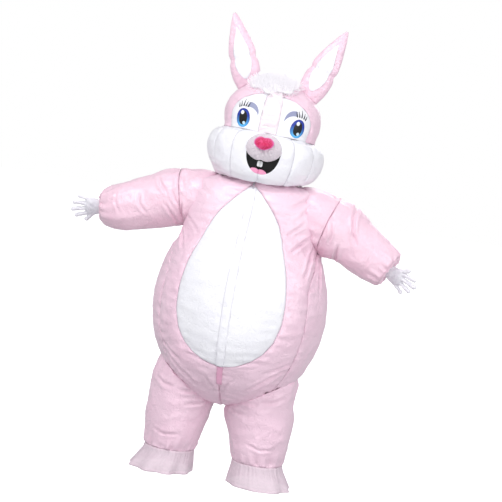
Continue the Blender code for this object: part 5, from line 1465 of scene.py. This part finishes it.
def ear_face(side, y_sign, distance, width, thickness, share):
    """A point of an ear's face, with its notch, folds and dents, share running from -1 to 1 across it."""
    bulge = 0.9 if y_sign < 0 else 0.8
    profile = np.sqrt(np.clip(1 - share**2, 0, 1))
    spot = np.stack([distance, share * width, 0 * distance + 5 * y_sign], -1)
    edge = np.clip(profile / 0.35, 0, 1)
    relief = (0.0016 * ripple(spot, 0.045, 240) + 0.0012 * (1 - np.abs(ripple(spot, 0.026, 241))) - 0.0006) * edge
    relief += 0.0016 * ripple(np.stack([distance, 0 * distance + y_sign], -1), 0.017, 244 + (side == "left")) * np.exp(
        -profile / 0.35
    ) * np.clip(profile / 0.12, 0, 1)
    for at, tilt, depth in ((0.120, 0.25, 0.0035), (0.185, -0.35, 0.0018), (0.060, 0.45, 0.0020)):
        relief -= depth * np.exp(-(((distance - at - tilt * share * width) / 0.007) ** 2)) * edge
    return ear_point(side, distance, share * width, y_sign * (0.0018 + thickness * bulge * profile + relief))


def build_ears():
    pink, white = cloth_finish("pink_nylon"), cloth_finish("white_nylon")
    rows = ear_rows(92)
    undo = HEAD_SKIN.place.inverted()
    for side, _ in SIDES:
        for face, y_sign in (("front", -1), ("back", 1)):
            share = np.sin(np.linspace(-0.5, 0.5, 31) * math.pi)[None, :] * -y_sign
            probe = ear_face(side, y_sign, rows[:, :1] + 0 * share, rows[:, 1:2] + 0 * share, rows[:, 2:3] + 0 * share,
                             share + 0 * rows[:, :1])
            leaves = leaves_skin(moved(probe, undo), HEAD_SKIN, 0.0070)
            steps = leaves + (1 - leaves) * np.linspace(0, 1, 92)[:, None]
            at = steps * (len(rows) - 1)
            lookup = [np.interp(at, np.arange(len(rows)), rows[:, k]) for k in range(3)]
            points = ear_face(side, y_sign, *lookup, share + 0 * steps)
            edge = (1 - np.abs(share)) * lookup[1]
            uv = np.stack([share * lookup[1], lookup[0]], -1)
            faces = grid_faces(92, 31).tolist()
            piece = make_object(f"ear_{face}_cloth_{side}", points, faces, uv, seam_shade(edge))
            cut_size(piece, 0.36, 0.17)
            dress(piece, f"ear_{face}_{side}", pink, 0.0014)
        inner = rows[(rows[:, 0] >= INNER_EAR_START) & (rows[:, 0] <= INNER_EAR_END)]
        up = (inner[:, 0] - INNER_EAR_START) / (INNER_EAR_END - INNER_EAR_START)
        narrow = INNER_EAR_SHARE * np.maximum(0.05, np.sin(math.pi * np.minimum(1, 0.01 + 0.99 * up**0.8)) ** 0.75)
        share = narrow[:, None] * np.linspace(-1, 1, 21)
        points = ear_face(side, -1, *(inner[:, k : k + 1] + 0 * share for k in range(3)), share)
        points[..., 1] -= 0.0022
        edge = (narrow[:, None] - np.abs(share)) * inner[:, 1:2]
        uv = np.stack([share * inner[:, 1:2], inner[:, :1] + 0 * share], -1)
        faces = grid_faces(len(inner), 21).tolist()
        piece = make_object(f"ear_inner_cloth_{side}", points, faces, uv, seam_shade(edge))
        cut_size(piece, 0.24, 0.088)
        dress(piece, f"ear_inner_{side}", white, 0.0010)


# Gloves, zip and stitching


def glove_frame(side):
    (x, height, y), aim, roll = HAND[side]
    along = Vector(aim).normalized()
    across = Vector((0, 0, 1)).cross(along).normalized()
    frame_of_hand = Matrix((along, across, along.cross(across))).transposed().to_4x4()
    return Matrix.Translation((x, y, height)) @ frame_of_hand @ Matrix.Rotation(math.radians(roll), 4, "X")


def closed_tube(sections, columns, place):
    turn = np.linspace(0, 2 * math.pi, columns, endpoint=False)
    rows = [
        np.stack([np.full_like(turn, d), w * np.cos(turn), t * np.sin(turn)], -1) for d, w, t in sections
    ]
    return moved(np.array(rows), place), len(sections), columns


def build_gloves():
    """Thin gloves, each a palm and five fingers fused, with soft folds and a rolled wrist edge."""
    for side, _ in SIDES:
        place = glove_frame(side)
        thumb_side = 1 if side == "right" else -1
        rows = np.array(PALM)
        run = rows[:, 0]
        palm = curve_at(rows, run, np.linspace(0, run[-1], 15))
        parts = [closed_tube(palm, 40, place)]
        for along, across, spread, length, radius in FINGERS:
            turn = Matrix.Rotation(math.radians(spread * thumb_side), 4, "Z")
            root = Matrix.Translation((along - 0.018, across * thumb_side * 0.92, 0.0011))
            full = length + 0.018
            rounded = full - radius * (1 - np.sin(np.linspace(0.2, 1.53, 7)))
            reach = np.concatenate([np.linspace(0, full - radius, 14), rounded])
            tip = np.clip((reach - (full - radius)) / radius, 0, 1)
            knuckle = 1 - 0.06 * np.exp(-(((reach - 0.52 * full) / 0.006) ** 2)) + 0.03 * np.sin(reach * 260 + spread)
            size = radius * np.sqrt(np.clip(1 - tip**2, 0.004, 1)) * knuckle
            parts.append(closed_tube(np.stack([reach, size, size], -1), 20, place @ root @ turn))
        points, faces, start = [], [], 0
        for grid, count, columns in parts:
            points.append(grid.reshape(-1, 3))
            faces += (grid_faces(count, columns, True) + start).tolist()
            faces.append([start + j for j in range(columns - 1, -1, -1)])
            faces.append([start + (count - 1) * columns + j for j in range(columns)])
            start += count * columns
        rough = make_object(f"glove_form_{side}", np.concatenate(points), faces)
        fuse = rough.modifiers.new("fuse", "REMESH")
        fuse.mode = "VOXEL"
        fuse.voxel_size = sizes().glove_cell
        ease = rough.modifiers.new("ease", "SMOOTH")
        ease.iterations = 5
        ease.factor = 0.5
        graph = bpy.context.evaluated_depsgraph_get()
        mesh = bpy.data.meshes.new_from_object(rough.evaluated_get(graph))
        bpy.data.objects.remove(rough, do_unlink=True)
        lowered = Matrix.Translation((0, 0, -MOUNT_HEIGHT)) @ place
        undo = lowered.inverted()
        shape = bmesh.new()
        shape.from_mesh(mesh)
        shape.normal_update()
        normals = [vert.normal.copy() for vert in shape.verts]
        spots = np.array([undo @ vert.co for vert in shape.verts])
        folds = 0.0009 * (1 - np.abs(ripple(spots, 0.016, 260))) + 0.0007 * ripple(spots, 0.024, 261)
        folds += 0.0009 * np.sin(spots[:, 0] * 2 * math.pi / 0.006) * np.exp(-np.clip(spots[:, 0], 0, 1) / 0.012)
        for vert, normal, fold in zip(shape.verts, normals, folds):
            vert.co += normal * float(fold - 0.0005)
        open_end = [face for face in shape.faces if (undo @ face.calc_center_median()).x < 0.0022]
        bmesh.ops.delete(shape, geom=open_end, context="FACES")
        shape.to_mesh(mesh)
        shape.free()
        mesh.shade_smooth()
        obj = bpy.data.objects.new(f"glove_knit_{side}", mesh)
        bpy.context.scene.collection.objects.link(obj)
        cut_size(obj, 0.19, 0.40)
        dress(obj, f"glove_{side}", finish_of("white_knit", knit_finish), 0.0010)


def trunk_line(start, end, angle, count, lift):
    """Points up the trunk's front at an angle, in the frame."""
    s = np.linspace(TRUNK.along(start), TRUNK.along(end), count)
    points = TRUNK.at(np.full(count, angle), s, lift)
    points[:, 2] -= MOUNT_HEIGHT
    return points


def path_object(name, lines):
    mesh = bpy.data.meshes.new(name)
    points, edges = [], []
    for line in lines:
        first = len(points)
        points += [tuple(p) for p in line]
        edges += [(first + i, first + i + 1) for i in range(len(line) - 1)]
    mesh.from_pydata(points, edges, [])
    obj = bpy.data.objects.new(name, mesh)
    bpy.context.scene.collection.objects.link(obj)
    return obj


def row_tree(name, pitch, size):
    """Small blocks set at a pitch along every edge path, turned along it."""
    tree, given, result = new_tree(
        name, ("Pitch", "NodeSocketFloat", pitch), ("Length", "NodeSocketFloat", size[2]),
        ("Width", "NodeSocketFloat", size[0])
    )
    tree.interface.new_socket("Material", in_out="INPUT", socket_type="NodeSocketMaterial")
    curve = tree.nodes.new("GeometryNodeMeshToCurve")
    join(tree, given.outputs["Geometry"], curve.inputs["Mesh"])
    even = tree.nodes.new("GeometryNodeResampleCurve")
    even.mode = "LENGTH"
    join(tree, curve.outputs[0], even.inputs["Curve"])
    join(tree, given.outputs["Pitch"], even.inputs["Length"])
    along = tree.nodes.new("GeometryNodeInputTangent")
    aim = tree.nodes.new("FunctionNodeAlignEulerToVector")
    aim.axis = "Z"
    join(tree, along.outputs[0], aim.inputs["Vector"])
    sides = tree.nodes.new("ShaderNodeCombineXYZ")
    join(tree, given.outputs["Width"], sides.inputs[0])
    sides.inputs[1].default_value = size[1]
    join(tree, given.outputs["Length"], sides.inputs[2])
    block = tree.nodes.new("GeometryNodeMeshCube")
    join(tree, sides.outputs[0], block.inputs["Size"])
    place = tree.nodes.new("GeometryNodeInstanceOnPoints")
    join(tree, even.outputs[0], place.inputs["Points"])
    join(tree, block.outputs[0], place.inputs["Instance"])
    join(tree, aim.outputs[0], place.inputs["Rotation"])
    finished(tree, place.outputs[0], given, result)
    return tree


def row_of(name, lines, tree, material):
    """Blocks along lines, as one piece that rides on the suit."""
    path = path_object(f"{name}_path", lines)
    obj = grown(path, name, tree, {}, material)
    bpy.data.objects.remove(path, do_unlink=True)
    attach(obj, "suit")
    return obj


def build_zip():
    """The slider's and tab's metal, and the short zip that shows between the placket and the neck."""
    metal = finish_of("zip_metal", metal_finish)
    for node in ("zip_slider", "pull_tab"):
        for slot in bpy.data.objects[node].material_slots:
            slot.material = metal
    s = np.linspace(TRUNK.along(1.3235), TRUNK.along(1.3575), 24)
    angle = np.linspace(-1.6, 1.6, 13)
    points = TRUNK.at(angle[None, :] + 0 * s[:, None], s[:, None] + 0 * angle, 0.0013)
    uv = np.stack([np.radians(angle) * 0.15 + 0 * s[:, None], s[:, None] + 0 * angle], -1)
    tape = make_object("zip_tape", points, grid_faces(24, 13).tolist(), uv)
    cut_size(tape, 0.045, 0.010)
    dress(tape, None, cloth_finish("light_pink_nylon"), 0.0007)
    lines = [trunk_line(1.3240, 1.3285, angle, 6, 0.0019) for angle in (-0.40, 0.40)]
    lines += [trunk_line(1.3440, 1.3570, angle, 9, 0.0019) for angle in (-0.40, 0.40)]
    teeth = row_of("zip_teeth", lines, row_tree("teeth", 0.0017, (0.0019, 0.0013, 0.0009)), metal)


def build_stitching():
    """Rows of stitches down the placket and round the muzzle window."""
    white = finish_of("white_thread", thread_finish, "white_thread", (0.84, 0.82, 0.87))
    tree = row_tree("stitches", 0.0042, (0.0006, 0.0004, 0.0028))
    lift = 0.0036
    lines = [trunk_line(0.552, 1.319, side * 2.55, 200, lift) for side in (-1, 1)]
    placket = row_of("placket_stitches", lines, tree, white)
    turn = np.linspace(0, 2 * math.pi, 140)
    reach = 0.955 * window_outline(turn)
    x = WINDOW_CENTRE[0] + WINDOW_HALF_SIZE[0] * reach * np.cos(turn)
    height = WINDOW_CENTRE[1] + WINDOW_HALF_SIZE[1] * reach * np.sin(turn)
    line = film_surface(x, height)
    line[..., 1] -= 0.0006
    line = moved(line, HEAD_SKIN.place)
    line[:, 2] -= MOUNT_HEIGHT
    window = row_of("window_stitches", [line], tree, white)


# The studio


FLOOR_REACH = 70.0
FLOOR_HEIGHT = -1.3405
LAMP_AIM = (0, 0, -0.3)
CAMERA_AIM = (0.010, 0.0014, -0.30)
# Lamp, place, size, share of the key light's power
LAMPS = [
    ("key", (-1.6, -3.3, 3.0), 2.0, 1.0), ("side", (3.2, -2.4, 0.8), 2.2, 0.42),
    ("back", (0.6, 3.6, 2.2), 2.6, 0.35), ("bounce", (0.3, -3.0, -1.15), 2.4, 0.15),
]


def build_stage():
    """The studio. The floor shows white but lights nothing: the low bounce lamp stands in for its light."""
    place = bpy.context.scene.costume_stage
    world = bpy.data.worlds.new("studio")
    bpy.context.scene.world = world
    world.use_nodes = True
    tree = world.node_tree
    ground = tree.nodes["Background"]
    ground.inputs["Color"].default_value = (0.95, 0.95, 1.0, 1.0)
    ground.inputs["Strength"].default_value = place.fill
    white = tree.nodes.new("ShaderNodeBackground")
    white.inputs["Color"].default_value = (1.0, 1.0, 1.0, 1.0)
    seen = tree.nodes.new("ShaderNodeLightPath")
    pick = tree.nodes.new("ShaderNodeMixShader")
    tree.links.new(seen.outputs["Is Camera Ray"], pick.inputs[0])
    tree.links.new(ground.outputs[0], pick.inputs[1])
    tree.links.new(white.outputs[0], pick.inputs[2])
    tree.links.new(pick.outputs[0], tree.nodes["World Output"].inputs["Surface"])
    floor_mesh = bpy.data.meshes.new("studio_floor")
    corners = [(x * FLOOR_REACH, y * FLOOR_REACH, FLOOR_HEIGHT) for x, y in ((-1, -1), (1, -1), (1, 1), (-1, 1))]
    floor_mesh.from_pydata(corners, [], [(0, 1, 2, 3)])
    floor = bpy.data.objects.new("studio_floor", floor_mesh)
    bpy.context.scene.collection.objects.link(floor)
    paper = Finish("studio_paper", Roughness=0.9)
    paper.set("Base Color", paper.mix(paper.noise(paper.object_point(), 3.0), (0.93, 0.93, 0.93), (0.95, 0.95, 0.95)))
    paper.set("Emission Color", (1.0, 1.0, 1.0))
    paper.set("Emission Strength", 0.85)
    floor.visible_diffuse = False
    floor.visible_glossy = False
    floor_mesh.materials.append(paper.material)
    for name, where, size, share in LAMPS:
        light = bpy.data.lights.new(name, "AREA")
        light.size = size
        light.energy = place.key * share
        lamp = bpy.data.objects.new(name, light)
        lamp.location = where
        lamp.rotation_euler = (Vector(LAMP_AIM) - Vector(where)).to_track_quat("-Z", "Y").to_euler()
        bpy.context.scene.collection.objects.link(lamp)
    turn, rise, roll = (math.radians(value) for value in (place.azimuth, place.elevation, place.roll))
    back = Vector((math.sin(turn) * math.cos(rise), -math.cos(turn) * math.cos(rise), math.sin(rise)))
    right = Vector((math.cos(turn), math.sin(turn), 0.0))
    up = back.cross(right)
    across = math.cos(roll) * right + math.sin(roll) * up
    upward = math.cos(roll) * up - math.sin(roll) * right
    lens = bpy.data.cameras.new("photo_camera")
    lens.lens = place.lens
    lens.sensor_width = 36.0
    camera = bpy.data.objects.new("photo_camera", lens)
    matrix = Matrix((across, upward, back)).transposed().to_4x4()
    matrix.translation = Vector(CAMERA_AIM) + back * place.distance
    camera.matrix_world = matrix
    bpy.context.scene.collection.objects.link(camera)
    bpy.context.scene.camera = camera
    bpy.context.scene.view_settings.view_transform = "Standard"


# The add-on


def amount(name, description, default, **options):
    return bpy.props.FloatProperty(name=name, description=description, default=default, **options)


def length(name, description, default):
    return amount(name, description, default, unit="LENGTH")


def colour(name, description, default):
    return bpy.props.FloatVectorProperty(name=name, description=description, subtype="COLOR", default=default)


class CostumeCloth(bpy.types.PropertyGroup):
    """Sizes of the cloth's cells and walls, and of the fur."""

    body_cell: length("Trunk cell", "Spacing of the trunk's mesh", 0.0080)
    arm_cell: length("Arm cell", "Spacing of the arms' mesh", 0.0062)
    leg_cell: length("Leg cell", "Spacing of the legs' mesh", 0.0072)
    head_cell: length("Head cell", "Spacing of the head's mesh", 0.0055)
    glove_cell: length("Glove cell", "Voxel that fuses the fingers", 0.0022)
    wall: length("Wall", "Thickness of the nylon", 0.0018)
    hairs_per_area: amount("Hairs", "Hairs to the square metre", 62000.0)
    hair_length: length("Hair length", "Length of the longest hairs", 0.034)


class CostumeColours(bpy.types.PropertyGroup):
    """Colours of the nylons, each with the deeper one of its folds and seams."""

    pink: colour("Pink", "Trunk, legs, head and ears", (0.90, 0.66, 0.765))
    # Each colour in folds is painted shade, mixed in along seams and crinkle lines.
    pink_shade: colour("Pink in folds", "The same in folds", (0.86, 0.56, 0.69))
    light_pink: colour("Arm pink", "Shoulders, sleeves and cuffs", (0.91, 0.66, 0.76))
    light_pink_shade: colour("Arm pink in folds", "The same in folds", (0.85, 0.51, 0.64))
    white: colour("White", "Belly, cheeks and eye panels", (0.90, 0.90, 0.925))
    white_shade: colour("White in folds", "The same in folds", (0.84, 0.83, 0.90))


class CostumeStage(bpy.types.PropertyGroup):
    """The studio's light and the photograph's camera."""

    azimuth: amount("Azimuth", "Degrees round from the front", 8.0)
    elevation: amount("Elevation", "Degrees over the horizon", 3.0)
    roll: amount("Roll", "Degrees that the camera leans", 9.0)
    distance: length("Distance", "From the camera to the suit", 5.5)
    lens: amount("Lens", "Focal length in millimetres", 87.6)
    key: amount("Key light", "Power of the main light in watts", 124.0)
    fill: amount("Fill", "Strength of the light from all round", 0.57)


def operator(name, label, words, work):
    """An operator of the costume that runs one builder."""

    def execute(self, context):
        work()
        return {"FINISHED"}

    return type(
        f"COSTUME_OT_{name}",
        (bpy.types.Operator,),
        {"__doc__": words, "bl_idname": f"costume.{name}", "bl_label": label, "execute": execute},
    )


OPERATORS = [
    operator("trunk", "Trunk", "Makes the trunk's gores, belly panel and placket", build_trunk),
    operator("arms", "Arms", "Makes the shoulders, sleeves and cuffs", build_arms),
    operator("legs", "Legs", "Makes the legs and ankle ruffles", build_legs),
    operator("head", "Head", "Makes the head's panels with their printed eyes and mouth", build_head),
    operator("muzzle", "Muzzle", "Makes the film window and the plush nose", build_muzzle),
    operator("tuft", "Tuft", "Makes the fur on the crown", build_tuft),
    operator("ears", "Ears", "Makes both ears", build_ears),
    operator("gloves", "Gloves", "Makes both gloves", build_gloves),
    operator("zip", "Zip", "Finishes the zip's metal and makes its teeth", build_zip),
    operator("stitching", "Stitching", "Makes the rows of stitches", build_stitching),
    operator("stage", "Studio", "Makes the floor, lights and camera", build_stage),
]


class COSTUME_PT_panel(bpy.types.Panel):
    """Lists the costume's pieces in the sidebar."""

    bl_label = "Rabbit costume"
    bl_space_type = "VIEW_3D"
    bl_region_type = "UI"
    bl_category = "Costume"

    def draw(self, context):
        for kind in OPERATORS:
            self.layout.operator(kind.bl_idname)
        for group in ("costume_cloth", "costume_colours", "costume_stage"):
            for name in getattr(context.scene, group).__annotations__:
                self.layout.prop(getattr(context.scene, group), name)


CLASSES = [CostumeCloth, CostumeColours, CostumeStage, *OPERATORS, COSTUME_PT_panel]


def register():
    for kind in CLASSES:
        bpy.utils.register_class(kind)
    bpy.types.Scene.costume_cloth = bpy.props.PointerProperty(type=CostumeCloth)
    bpy.types.Scene.costume_colours = bpy.props.PointerProperty(type=CostumeColours)
    bpy.types.Scene.costume_stage = bpy.props.PointerProperty(type=CostumeStage)


def unregister():
    for name in ("costume_cloth", "costume_colours", "costume_stage"):
        delattr(bpy.types.Scene, name)
    for kind in reversed(CLASSES):
        bpy.utils.unregister_class(kind)


def main():
    register()
    for kind in OPERATORS:
        group, name = kind.bl_idname.split(".")
        getattr(getattr(bpy.ops, group), name)()


if __name__ == "__main__":
    main()
